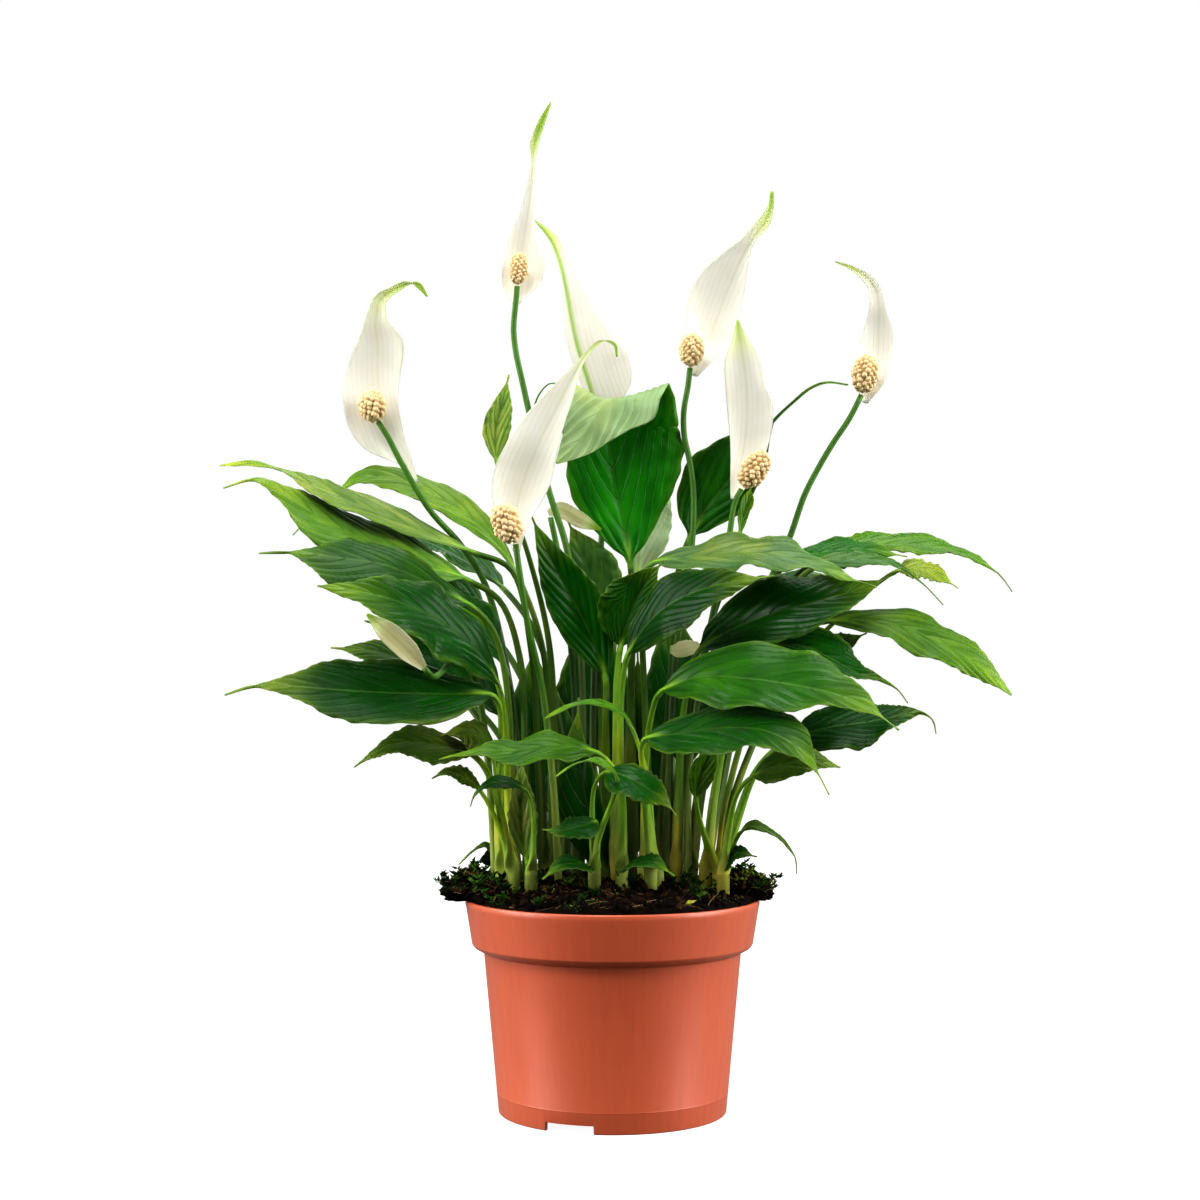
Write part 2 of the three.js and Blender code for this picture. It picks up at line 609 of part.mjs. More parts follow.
// ---- the blooms: green stem, white spathe, cream spadix ----
// widths holds, for each point of the spathe's rib, the reach to its left and to its right margin.
const BLOOMS = {
  bloom_1: {
    foot: [-14, 4],
    stem: [[-13, 6, 150], [-14, 8, 200], [-20, 9, 247], [-28, 10, 273],
      [-36.6, 10, 307], [-40.2, 10, 323], [-43, 10, 336], [-44, 10, 346], [-43, 10, 358],
      [-42.4, 10, 365]],
    rib: [[-43, 12.6, 357], [-42.5, 16, 364], [-41, 18.5, 374], [-39.5, 17, 386], [-37.6, 14, 398],
      [-36.2, 12, 410], [-35.3, 11, 421], [-34.6, 10.5, 429], [-31.5, 10, 438.5],
      [-27.5, 10, 447.5]],
    widths: [[1.6, 1.6], [7, 10], [8.5, 12.5], [7, 6.5], [4, 2.5], [2, 1.6], [0.8, 0.8],
      [2.2, 2], [1.7, 1.6], [0.4, 0.4]],
    left: [-1, -0.35, 0], right: [1, -0.35, 0],
    spadix: { foot: [-42.3, 9.8, 365.5], top: [-41.2, 10, 380.5], radius: 4.1 },
  },
  bloom_2: {
    foot: [-10, 19],
    stem: [[-9, 24, 150], [-8, 28, 200], [-6.5, 31, 228], [-4.5, 32, 258],
      [-3.5, 33, 285], [-1.5, 35, 300], [0, 37, 309]],
    rib: [[-2.3, 34, 303], [-7.5, 29.5, 313], [-12.5, 28, 328], [-16, 28, 340], [-18.5, 30, 352],
      [-21, 32, 366], [-24, 34, 378], [-28, 36, 387], [-34.5, 38, 394.5]],
    widths: [[5, 4], [18, 12], [22.5, 14], [18.5, 14], [12.5, 12], [6.5, 8], [4, 5], [3.4, 3],
      [0.4, 0.4]],
    left: [1, 0.3, 0], right: [-0.25, 1, 0],
    spadix: { foot: [0.2, 37.4, 309.6], top: [-1, 41, 327], radius: 4.8 },
  },
  bloom_3: {
    foot: [-37, 18],
    stem: [[-40, 22, 140], [-46, 28, 190], [-56, 24.5, 231], [-67.6, 14, 250],
      [-81, 6, 265], [-94.3, 4, 287], [-100, 3.4, 298], [-104.3, 3, 304.5]],
    rib: [[-87.4, 6.9, 277], [-92, 9.6, 286], [-99, 11.5, 298], [-103, 12, 312],
      [-104.5, 13, 326], [-104.5, 12, 338], [-105.5, 10, 350], [-103, 9, 359], [-97, 8, 363.5],
      [-91, 8, 366], [-86.5, 8, 365.5], [-82.5, 8, 360.5]],
    widths: [[1.4, 1.4], [3, 3.4], [14.5, 7], [17.5, 8.5], [14.5, 11], [10.5, 12.5], [4.5, 6],
      [3.4, 3], [2.2, 2], [2, 2], [1.5, 1.5], [0.4, 0.4]],
    left: [-1, -0.35, 0.05], right: [1, -0.3, 0.05],
    spadix: { foot: [-104.6, 2.8, 305], top: [-109, 1, 318.5], radius: 5.8 },
  },
  bloom_4: {
    foot: [23, 7],
    stem: [[25, 10, 150], [28, 13, 200], [33, 14, 235], [35.5, 14, 252],
      [36, 14, 274], [34.4, 14, 287], [32, 14, 298], [31.8, 14, 309.5], [33.6, 14, 320],
      [34.6, 14, 328.5]],
    rib: [[36.5, 16.8, 325], [39.5, 22, 334], [44, 25.5, 344], [48.5, 25, 356], [53, 22, 367],
      [57.5, 19, 377], [62.5, 16, 386], [68, 15, 393.5], [70.5, 15, 400], [71.3, 15, 407.5]],
    widths: [[1.6, 1.6], [8.5, 7], [14, 10], [16.5, 9.5], [15, 7], [9, 3.6], [4, 1.6], [3.5, 2.4],
      [1.5, 1.5], [0.9, 0.9]],
    left: [-1, -0.4, 0.3], right: [1, -0.35, -0.3],
    spadix: { foot: [34.7, 13, 329], top: [35.8, 10.5, 344.5], radius: 5.3 },
  },
  bloom_5: {
    foot: [-24, -13],
    stem: [[-26, -20, 140], [-31, -30, 185], [-37, -38, 212], [-41, -42, 236],
      [-43, -44, 250]],
    rib: [[-42.5, -41.6, 246.5], [-42.5, -35, 256], [-42, -32, 268], [-38.5, -32, 281],
      [-33, -34, 294], [-27, -34, 306], [-21, -34, 318], [-17, -34, 326], [-12, -34, 334],
      [-5, -34, 340.5], [1, -34, 339], [2, -34, 333.5]],
    widths: [[1.5, 1.5], [6, 4.5], [12, 10], [14.5, 12], [13, 9.5], [10, 6.5], [6, 4.5], [3, 2.5],
      [1.1, 1.1], [0.9, 0.9], [0.8, 0.8], [0.4, 0.4]],
    left: [-1, -0.4, 0], right: [1, -0.35, 0],
    spadix: { foot: [-43.6, -44.6, 250.6], top: [-50.5, -47, 268], radius: 6 },
  },
  bloom_6: {
    foot: [33.5, -4.5],
    stem: [[34, -3, 150], [41, -1, 200], [48, 2, 235], [52, 3, 254],
      [54.5, 3, 269], [57.5, 2.6, 274.5]],
    rib: [[53.9, 5.2, 270], [56, 11, 281], [59, 14, 296], [60, 13, 309], [59.5, 11, 322],
      [58, 9, 334], [56.5, 8, 343], [55.8, 8, 350]],
    widths: [[1.5, 1.5], [4, 8], [7.5, 11], [9.5, 12], [10, 8.5], [8.5, 6.5], [3, 3], [0.5, 0.5]],
    left: [-1, -0.35, 0], right: [1, -0.35, 0],
    spadix: { foot: [58, 2.2, 275.2], top: [68.5, -2, 291.5], radius: 5.6 },
  },
  bloom_7: {
    foot: [43, 19],
    stem: [[46, 23, 140], [54, 30, 190], [66, 35, 225], [78.4, 36, 252],
      [85.5, 36, 272], [92.2, 36, 285], [98.8, 36, 296], [105.5, 36, 306], [110.8, 36, 316.4]],
    rib: [[112.5, 38.6, 313], [116, 44.5, 324], [118, 47, 335], [118.5, 45, 346], [118.5, 41, 356],
      [117, 40, 364], [112.5, 39, 369.5], [106, 38, 373.5], [99.3, 38, 376]],
    widths: [[1.6, 1.6], [11.5, 6.5], [10.5, 7], [7.5, 6.5], [4.5, 3.4], [3.2, 2.8], [2.4, 2.2],
      [1.3, 1.3], [0.4, 0.4]],
    left: [-1, -0.35, 0], right: [1, -0.35, 0],
    spadix: { foot: [111, 35.6, 317], top: [114.2, 34, 335], radius: 5.8 },
  },
  // the spent one behind the front bloom
  bloom_8: {
    foot: [-17, 14],
    stem: [[-16, 16, 150], [-18, 18, 200], [-23, 15, 240], [-27.5, 13.5, 262]],
    rib: [[-28.5, 13.5, 263.8], [-23, 13.5, 266], [-15, 12.5, 262], [-5, 11, 256.5]],
    widths: [[1.4, 1.4], [3, 4.5], [3, 4.5], [0.5, 0.5]],
    small: true,
    left: [0.3, -0.3, 0.9], right: [-0.3, 0.2, -0.9],
  },
  // closed buds
  bud_left: {
    foot: [-52, -9],
    stem: [[-54, -11, 140], [-57, -15, 170], [-61, -20, 190], [-69, -34, 201], [-75, -50, 194],
      [-79.5, -63, 191], [-83, -71, 194.5]],
    rib: [[-83.6, -71.9, 195.1], [-92, -76, 204], [-100, -78, 211.5], [-109, -80, 219]],
    widths: [[1.6, 1.6], [4.6, 4.6], [4.4, 4.4], [0.6, 0.6]],
    small: true,
    left: [-0.7, -0.3, -0.7], right: [0.7, -0.3, 0.7],
  },
  bud_small: {
    foot: [29.5, 8],
    stem: [[32, 9, 150], [38, 7, 190], [42, 4, 202], [39.5, 0, 205.5]],
    rib: [[38.6, -0.9, 205.2], [33.5, -4, 203.5], [29, -5, 202.5], [25.5, -5.5, 203]],
    widths: [[1.5, 1.5], [3.8, 4.2], [4, 4], [2, 2]],
    small: true,
    left: [0, -0.8, -0.8], right: [0, 0.3, 1],
  },
};

const COLOURS = {
  pot: 0xc8683f,
  soil: 0x2b1a10,
  stem: 0x4f7a2a,
  spathe: 0xf1eee2,
  spent: 0xc9c29a,
  spadix: 0xead3a2,
};

// ---- closed skins ----
// A section holds its upper and lower row of points from left to right.
function bridge(faces, lower, upper, first, second) {
  // joins two rows that may differ in their number of points, always by the same diagonals
  let i = 0;
  let j = 0;
  while (i < lower.length - 1 || j < upper.length - 1) {
    const nextLower = (i + 1) / (lower.length - 1);
    const nextUpper = (j + 1) / (upper.length - 1);
    if (nextLower <= nextUpper) {
      faces.push(first(lower[i], lower[i + 1], upper[j]));
      i += 1;
    } else {
      faces.push(second(lower[i], upper[j + 1], upper[j]));
      j += 1;
    }
  }
}

function skin(sections) {
  const points = [];
  const rows = sections.map(({ top, bottom }) => ({
    top: top.map((point) => points.push(point) - 1),
    bottom: bottom.map((point) => points.push(point) - 1),
  }));
  const faces = [];
  const asGiven = (a, b, c) => [a, b, c];
  const turned = (a, b, c) => [a, c, b];
  for (let k = 0; k + 1 < rows.length; k += 1) {
    const [here, next] = [rows[k], rows[k + 1]];
    bridge(faces, here.top, next.top, asGiven, asGiven);
    bridge(faces, here.bottom, next.bottom, turned, turned);
    const [right, nextRight] = [here.top.length - 1, next.top.length - 1];
    faces.push([here.top[right], here.bottom[right], next.bottom[nextRight]]);
    faces.push([here.top[right], next.bottom[nextRight], next.top[nextRight]]);
    faces.push([here.top[0], next.top[0], next.bottom[0]]);
    faces.push([here.top[0], next.bottom[0], here.bottom[0]]);
  }
  const close = ({ top, bottom }, order) => {
    for (let i = 0; i + 1 < top.length; i += 1) {
      faces.push(order(top[i], bottom[i], bottom[i + 1]));
      faces.push(order(top[i], bottom[i + 1], top[i + 1]));
    }
  };
  close(rows[0], asGiven);
  close(rows.at(-1), turned);
  return new THREE.BufferGeometry().setFromPoints(points).setIndex(faces.flat());
}

// The direction of side, square to the run of the curve.
function squareTo(run, side) {
  return side.clone().addScaledVector(run, -side.dot(run)).normalize();
}

// A six-sided section of a stalk or stem.
function stalkSection(centre, run, side, radius) {
  const across = squareTo(run, side);
  const face = across.clone().cross(run);
  const at = (degrees) => {
    const angle = THREE.MathUtils.degToRad(degrees);
    return centre.clone()
      .addScaledVector(across, radius * Math.cos(angle))
      .addScaledVector(face, radius * Math.sin(angle));
  };
  return { top: [150, 90, 30].map(at), bottom: [210, 270, 330].map(at) };
}

// The buried foot of a stalk or stem, and its collar above the soil.
function footSections([across, depth], radius) {
  const [upright, side] = [new THREE.Vector3(0, 0, 1), new THREE.Vector3(1, 0, 0)];
  return [FOOT.buried, FOOT.collar].map(
    (up) => stalkSection(place([across, depth, up]), upright, side, radius),
  );
}

// A smooth path through the given points, with the share of its length at each of them.
function pathThrough(given) {
  const points = given.map(place);
  const path = new THREE.CatmullRomCurve3(points);
  const steps = 24;
  path.arcLengthDivisions = steps * (points.length - 1);
  const lengths = path.getLengths();
  const length = lengths.at(-1);
  return { path, length, shares: points.map((_, i) => lengths[i * steps] / length) };
}

// ---- blades: leaves and spathes alike ----
function leafOutline(t, peak) {
  if (t >= 1) return 0;
  if (t < peak) return Math.sin((Math.PI / 2) * (t / peak)) ** BLADE.swell;
  return Math.cos(((Math.PI / 2) * (t - peak)) / (1 - peak)) ** BLADE.point;
}

function smooth(a, b, t) {
  return a + (b - a) * t * t * (3 - 2 * t);
}

// The reach to one margin, from the widths given at the points of the rib.
function widthAt(shares, widths, side, t) {
  const next = Math.max(1, shares.findIndex((share) => share >= t - 1e-9));
  const part = (t - shares[next - 1]) / (shares[next] - shares[next - 1]);
  return smooth(widths[next - 1][side], widths[next][side], Math.min(1, Math.max(0, part)));
}

// One section of a blade; reach gives the way from the rib to the left and right margins.
function bladeSection({ centre, run, left, right, reach, wave, cup, thick, ridge, columns }) {
  const toLeft = squareTo(run, left);
  const toRight = squareTo(run, right);
  const faceLeft = run.clone().cross(toLeft);
  const faceRight = toRight.clone().cross(run);
  const faceRib = faceLeft.clone().add(faceRight).normalize();
  const section = { top: [], bottom: [] };
  for (let c = 0; c < columns; c += 1) {
    const s = (2 * c) / (columns - 1) - 1;
    const [way, face, side] = s < 0 ? [toLeft, faceLeft, 0] : [toRight, faceRight, 1];
    const outward = s === 0 ? faceRib : face;
    const out = Math.abs(s);
    const rise = cup * reach[side] * (s * s - out) + wave[side] * s * s;
    const middle = centre.clone()
      .addScaledVector(way, out * reach[side])
      .addScaledVector(face, rise);
    section.top.push(middle.clone().addScaledVector(outward, thick / 2));
    const under = thick / 2 + (s === 0 ? ridge : 0);
    section.bottom.push(middle.clone().addScaledVector(outward, -under));
  }
  return section;
}

function leafSections(leaf) {
  const { foot, stalk = [], rib, left, right, tipLeft = left, tipRight = right, widths } = leaf;
  const { tail = BLADE.tail, peak = BLADE.peak, turnFrom = 0 } = leaf;
  const { segments, columns } = leaf.small ? SMALL : { ...BLADE, ...leaf };
  const [waveHeight, waves] = leaf.wave ?? BLADE.wave;
  const collar = foot ? [[...foot, FOOT.collar]] : [];
  const { path, length, shares } = pathThrough([...collar, ...stalk, ...rib]);
  const bladeFrom = collar.length + stalk.length;
  const bladeAt = shares[bladeFrom];
  const ribShares = shares.slice(bladeFrom).map((share) => (share - bladeAt) / (1 - bladeAt));
  const vector = (list) => new THREE.Vector3(...list);
  const girth = leaf.small ? SMALL.girth : 1;
  const sections = foot ? footSections(foot, STALK.foot) : [];
  const stalkSteps = Math.round((bladeAt * length) / STALK.step);
  for (let k = 1; k < stalkSteps; k += 1) {
    const share = (bladeAt * k) / stalkSteps;
    const radius = girth * THREE.MathUtils.lerp(STALK.foot, STALK.top, k / stalkSteps);
    sections.push(
      stalkSection(path.getPointAt(share), path.getTangentAt(share), vector(right), radius),
    );
  }
  for (let k = 0; k <= segments; k += 1) {
    const t = k / segments;
    const share = Math.min(1, bladeAt + (1 - bladeAt) * t);
    const narrow = THREE.MathUtils.lerp(girth * STALK.top, BLADE.tip, t);
    const turn = smooth(0, 1, Math.max(0, (t - turnFrom) / (1 - turnFrom)));
    const ways = [[left, tipLeft], [right, tipRight]].map(
      ([base, tip]) => vector(base).lerp(vector(tip), turn),
    );
    const wide = leafOutline(t / (1 - tail), peak);
    const reach = ways.map((way, side) => Math.max(
      narrow,
      widths ? widthAt(ribShares, widths, side, t) : BLADE.full * wide * way.length(),
    ));
    const swing = 2 * Math.PI * waves * t;
    const fade = Math.sin(Math.PI * t);
    sections.push(bladeSection({
      centre: path.getPointAt(share),
      run: path.getTangentAt(share),
      left: ways[0],
      right: ways[1],
      reach,
      wave: [waveHeight * fade * Math.sin(swing), waveHeight * fade * Math.sin(swing + 2)],
      cup: BLADE.cup,
      thick: BLADE.thick,
      ridge: THREE.MathUtils.lerp(girth * BLADE.ridge, 0, t),
      columns,
    }));
  }
  return sections;
}

function spatheSections({ rib, widths, left, right, small }) {
  const { path, shares } = pathThrough(rib);
  const { segments, columns } = small ? SMALL : SPATHE;
  const sections = [];
  for (let k = 0; k <= segments; k += 1) {
    const t = k / segments;
    const reach = [0, 1].map((side) => widthAt(shares, widths, side, t));
    sections.push(bladeSection({
      centre: path.getPointAt(t),
      run: path.getTangentAt(t),
      left: new THREE.Vector3(...left),
      right: new THREE.Vector3(...right),
      reach,
      wave: reach.map((out, side) => SPATHE.ripple * out * Math.sin(SPATHE.ripples * t + side)),
      cup: SPATHE.cup,
      thick: SPATHE.thick,
      ridge: SPATHE.ridge,
      columns,
    }));
  }
  return sections;
}

function stemSections(foot, points) {
  const { path, length } = pathThrough([[...foot, FOOT.collar], ...points]);
  const steps = Math.round(length / STEM.step);
  const side = new THREE.Vector3(1, 0.2, 0.1);
  const rising = Array.from({ length: steps }, (_, k) => {
    const t = (k + 1) / steps;
    const radius = THREE.MathUtils.lerp(STEM.foot, STEM.top, t);
    return stalkSection(path.getPointAt(t), path.getTangentAt(t), side, radius);
  });
  return [...footSections(foot, STEM.foot), ...rising];
}

// ---- solids and booleans ----
function toSolid(geometry) {
  const bare = geometry.clone();
  bare.deleteAttribute("normal");
  bare.deleteAttribute("uv");
  const merged = mergeVertices(bare, 1e-4);
  return new wasm.Manifold(new wasm.Mesh({
    numProp: 3,
    vertProperties: Float32Array.from(merged.attributes.position.array),
    triVerts: Uint32Array.from(merged.index.array),
  }));
}

function toGeometry(solid) {
  const { vertProperties, triVerts } = solid.getMesh();
  return new THREE.BufferGeometry()
    .setAttribute("position", new THREE.BufferAttribute(vertProperties, 3))
    .setIndex(new THREE.BufferAttribute(triVerts, 1));
}

function joined(geometries) {
  if (geometries.length === 1) return geometries[0];
  return toGeometry(geometries.map(toSolid).reduce((whole, next) => whole.add(next)));
}

// The plain hole in the soil for an upright foot of the given radius.
function footHole(foot, radius) {
  const [low, high] = footSections(foot, radius + CLEAR + FACET);
  const shift = ({ top, bottom }, rise) => {
    const move = (point) => point.clone().setZ(point.z + rise);
    return { top: top.map(move), bottom: bottom.map(move) };
  };
  return skin([shift(low, -HOLE.below), shift(high, HOLE.above)]);
}

// ---- pot ----
function potGeometry() {
  const { height, rim, lip, bandFoot, bandHeight, neck, shoulder, foot, ring, wall } = POT;
  const { baseLift, floor, sides } = POT;
  const bandZ = height - bandHeight;
  const floorTop = baseLift + floor;
  const inner = foot - lip - ring;
  const profile = [
    [0, baseLift], [inner - lip, baseLift], [inner, 0], [foot - lip, 0], [foot, lip],
    [neck, bandZ - shoulder], [bandFoot, bandZ], [rim, height - lip], [rim - lip, height],
    [rim - wall, height], [bandFoot - wall, bandZ + lip], [neck - wall, bandZ - shoulder + lip],
    [foot - lip, floorTop + lip], [0, floorTop],
  ].map(([r, z]) => new THREE.Vector2(r, z));
  let solid = toSolid(new THREE.LatheGeometry(profile, sides).rotateX(Math.PI / 2));
  const notchHeight = baseLift - POT.notchRoof;
  for (let k = 0; k < POT.notches; k += 1) {
    const angle = THREE.MathUtils.degToRad(POT.firstNotch + (360 / POT.notches) * k);
    const notch = new THREE.BoxGeometry(5 * ring, POT.notch, 2 * notchHeight)
      .translate(foot - lip, 0, 0)
      .rotateZ(angle);
    const hole = new THREE.CylinderGeometry(POT.drainHole, POT.drainHole, 3 * floor, 10)
      .rotateX(Math.PI / 2)
      .translate(POT.drainRing, 0, baseLift + floor / 2)
      .rotateZ(angle);
    solid = solid.subtract(toSolid(notch)).subtract(toSolid(hole));
  }
  return toGeometry(solid);
}

// ---- soil ----
function seeded(seed) {
  // the usual small linear congruential generator, so that every build is alike
  let state = seed;
  return () => {
    state = (state * 1664525 + 1013904223) % 4294967296;
    return state / 4294967296;
  };
}

function soilCore() {
  const { height, bandHeight, neck, shoulder, foot, lip, wall, bandFoot, rim } = POT;
  const bandZ = height - bandHeight;
  const floorTop = POT.baseLift + POT.floor;
  const slack = wall + CLEAR + FACET;
  const draw = seeded(7);
  const rings = [
    [foot - lip - CLEAR - FACET, floorTop + lip + CLEAR], [neck - slack, bandZ - shoulder + lip],
    [bandFoot - slack, bandZ + lip + CLEAR], [rim - slack - CLEAR, height - lip],
  ].map(([r, z]) => ({ r, z: () => z }));
  for (let k = SOIL.rings; k > 0; k -= 1) {
    const share = k / (SOIL.rings + 0.5);
    const z = THREE.MathUtils.lerp(SOIL.crown, SOIL.edge, share ** 2);
    rings.push({ r: (rim - slack) * share, z: () => z + (2 * draw() - 1) * SOIL.rough });
  }
  const points = rings.flatMap(({ r, z }) => Array.from({ length: SOIL.sides }, (_, k) => {
    const angle = (2 * Math.PI * k) / SOIL.sides;
    return new THREE.Vector3(r * Math.cos(angle), r * Math.sin(angle), z());
  }));
  const bottom = points.push(new THREE.Vector3(0, 0, floorTop + CLEAR)) - 1;
  const top = points.push(new THREE.Vector3(0, 0, SOIL.crown)) - 1;
  const faces = [];
  const last = (rings.length - 1) * SOIL.sides;
  for (let k = 0; k < SOIL.sides; k += 1) {
    const next = (k + 1) % SOIL.sides;
    faces.push([bottom, next, k], [top, last + k, last + next]);
    for (let ring = 0; ring + 1 < rings.length; ring += 1) {
      const [low, high] = [ring * SOIL.sides, (ring + 1) * SOIL.sides];
      faces.push([low + k, low + next, high + next], [low + k, high + next, high + k]);
    }
  }
  return new THREE.BufferGeometry().setFromPoints(points).setIndex(faces.flat());
}

// Lumps of peat that spill over the rim: centre, radii and seed.
const LUMPS = [
  { at: [-61, -8, 99.4], size: [9, 11, 7], seed: 3 },
  { at: [-67.5, -14, 97.2], size: [6.5, 6, 4.6], seed: 5 },
  { at: [-52, -24, 97.5], size: [8, 7, 5.5], seed: 11 },
  { at: [57, -6, 99], size: [9.5, 12, 6.4], seed: 9 },
  { at: [64.5, -11, 97], size: [5, 6, 4.4], seed: 14 },
];

function lumpGeometry({ at, size, seed }) {
  const lump = new THREE.IcosahedronGeometry(1, 1);
  lump.deleteAttribute("normal");
  lump.deleteAttribute("uv");
  const merged = mergeVertices(lump, 1e-4);
  const draw = seeded(seed);
  const position = merged.attributes.position;
  for (let i = 0; i < position.count; i += 1) {
    const swell = LUMP.least + LUMP.spread * draw();
    position.setXYZ(i, position.getX(i) * swell, position.getY(i) * swell, position.getZ(i) * swell);
  }
  return merged.scale(...size).translate(...at);
}

function soilGeometry(holes) {
  const room = 4 * POT.rim;
  const aboveRim = new THREE.BoxGeometry(room, room, room)
    .translate(0, 0, POT.height + CLEAR + room / 2);
  const keep = toSolid(aboveRim);
  let solid = toSolid(soilCore());
  for (const lump of LUMPS) solid = solid.add(toSolid(lumpGeometry(lump)).intersect(keep));
  for (const hole of holes) solid = solid.subtract(toSolid(hole));
  return toGeometry(solid);
}

// ---- spadix: a blunt club covered in small round florets ----
function spadixGeometry({ foot, top, radius }) {
  const [low, high] = [place(foot), place(top)];
  const run = high.clone().sub(low);
  const half = run.length() / 2;
  const { around, rows, knob, blunt } = SPADIX;
  const ball = new THREE.SphereGeometry(1, around, rows);
  ball.deleteAttribute("normal");
  ball.deleteAttribute("uv");
  const merged = mergeVertices(ball, 1e-4);
  const position = merged.attributes.position;
  const point = new THREE.Vector3();
  for (let i = 0; i < position.count; i += 1) {
    point.fromBufferAttribute(position, i);
    const angle = Math.atan2(point.z, point.x);
    const row = Math.round((Math.acos(point.y) / Math.PI) * rows);
    const bump = knob * Math.cos(angle * (around / 2) + row * Math.PI);
    const girth = radius * (1 + bump) * Math.hypot(point.x, point.z) ** blunt;
    point.set(Math.cos(angle) * girth, point.y * half, Math.sin(angle) * girth);
    position.setXYZ(i, point.x, point.y, point.z);
  }
  const up = new THREE.Quaternion().setFromUnitVectors(
    new THREE.Vector3(0, 1, 0), run.clone().normalize(),
  );
  const middle = low.add(high).multiplyScalar(0.5);
  return merged.applyQuaternion(up).translate(middle.x, middle.y, middle.z);
}

// ---- the plant ----
const plant = new THREE.Group();

function addPart(name, geometry, color, roughness) {
  const material = new THREE.MeshStandardMaterial({ color, roughness, metalness: 0 });
  geometry.computeVertexNormals();
  const mesh = new THREE.Mesh(geometry, material);
  mesh.name = name;
  plant.add(mesh);
}

const feet = new Map();

function plantFoot(foot, radius) {
  feet.set(`${foot}`, footHole(foot, radius));
}

for (const [name, leaves] of Object.entries(SHOOTS)) {
  for (const { foot } of leaves) if (foot) plantFoot(foot, STALK.foot);
  const skins = leaves.map((leaf) => skin(leafSections(leaf)));
  addPart(name, joined(skins), TONES[leaves[0].tone], 0.45);
}

for (const [name, bloom] of Object.entries(BLOOMS)) {
  plantFoot(bloom.foot, STEM.foot);
  addPart(`${name}_stem`, skin(stemSections(bloom.foot, bloom.stem)), COLOURS.stem, 0.5);
  const white = name === "bloom_8" ? COLOURS.spent : COLOURS.spathe;
  addPart(`${name}_spathe`, skin(spatheSections(bloom)), white, 0.55);
  if (bloom.spadix) addPart(`${name}_spadix`, spadixGeometry(bloom.spadix), COLOURS.spadix, 0.8);
}

addPart("pot", potGeometry(), COLOURS.pot, 0.5);
addPart("soil", soilGeometry([...feet.values()]), COLOURS.soil, 0.95);

export default plant;
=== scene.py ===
"""A potted peace lily: fine leaves, blooms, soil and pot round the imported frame.

Sizes in the tables are millimetres; every mesh is made in metres.
"""
import math
import random
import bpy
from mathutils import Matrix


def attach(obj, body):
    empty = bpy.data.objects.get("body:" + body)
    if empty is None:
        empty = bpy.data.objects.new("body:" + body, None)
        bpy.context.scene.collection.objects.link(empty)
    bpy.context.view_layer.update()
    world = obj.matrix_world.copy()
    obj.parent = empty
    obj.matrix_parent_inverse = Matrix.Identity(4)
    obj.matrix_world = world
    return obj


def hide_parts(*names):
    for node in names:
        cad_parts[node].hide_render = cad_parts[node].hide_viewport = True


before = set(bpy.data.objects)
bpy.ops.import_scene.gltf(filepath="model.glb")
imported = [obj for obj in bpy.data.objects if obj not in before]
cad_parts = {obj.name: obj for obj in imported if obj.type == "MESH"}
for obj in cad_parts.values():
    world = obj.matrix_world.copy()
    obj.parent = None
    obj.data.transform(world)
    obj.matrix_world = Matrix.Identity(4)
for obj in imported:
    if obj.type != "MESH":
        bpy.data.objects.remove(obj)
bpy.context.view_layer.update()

from types import SimpleNamespace

import bpy
import numpy as np
from mathutils import Vector, noise

bl_info = {
    "name": "Potted peace lily",
    "version": (1, 0, 0),
    "blender": (4, 5, 0),
    "location": "3D View > Sidebar > Peace lily",
    "description": "Leaves, blooms, soil, pot and stage of a potted peace lily",
    "category": "Object",
}

MM = 0.001
BODY = "root"

# The plant's points are [across, depth, up] as they are seen from the eye, which place() spreads
# by their depth, so that a point keeps its place in the eye's view wherever its depth puts it.
EYE = {"across": -5.5, "up": 202, "away": 950}

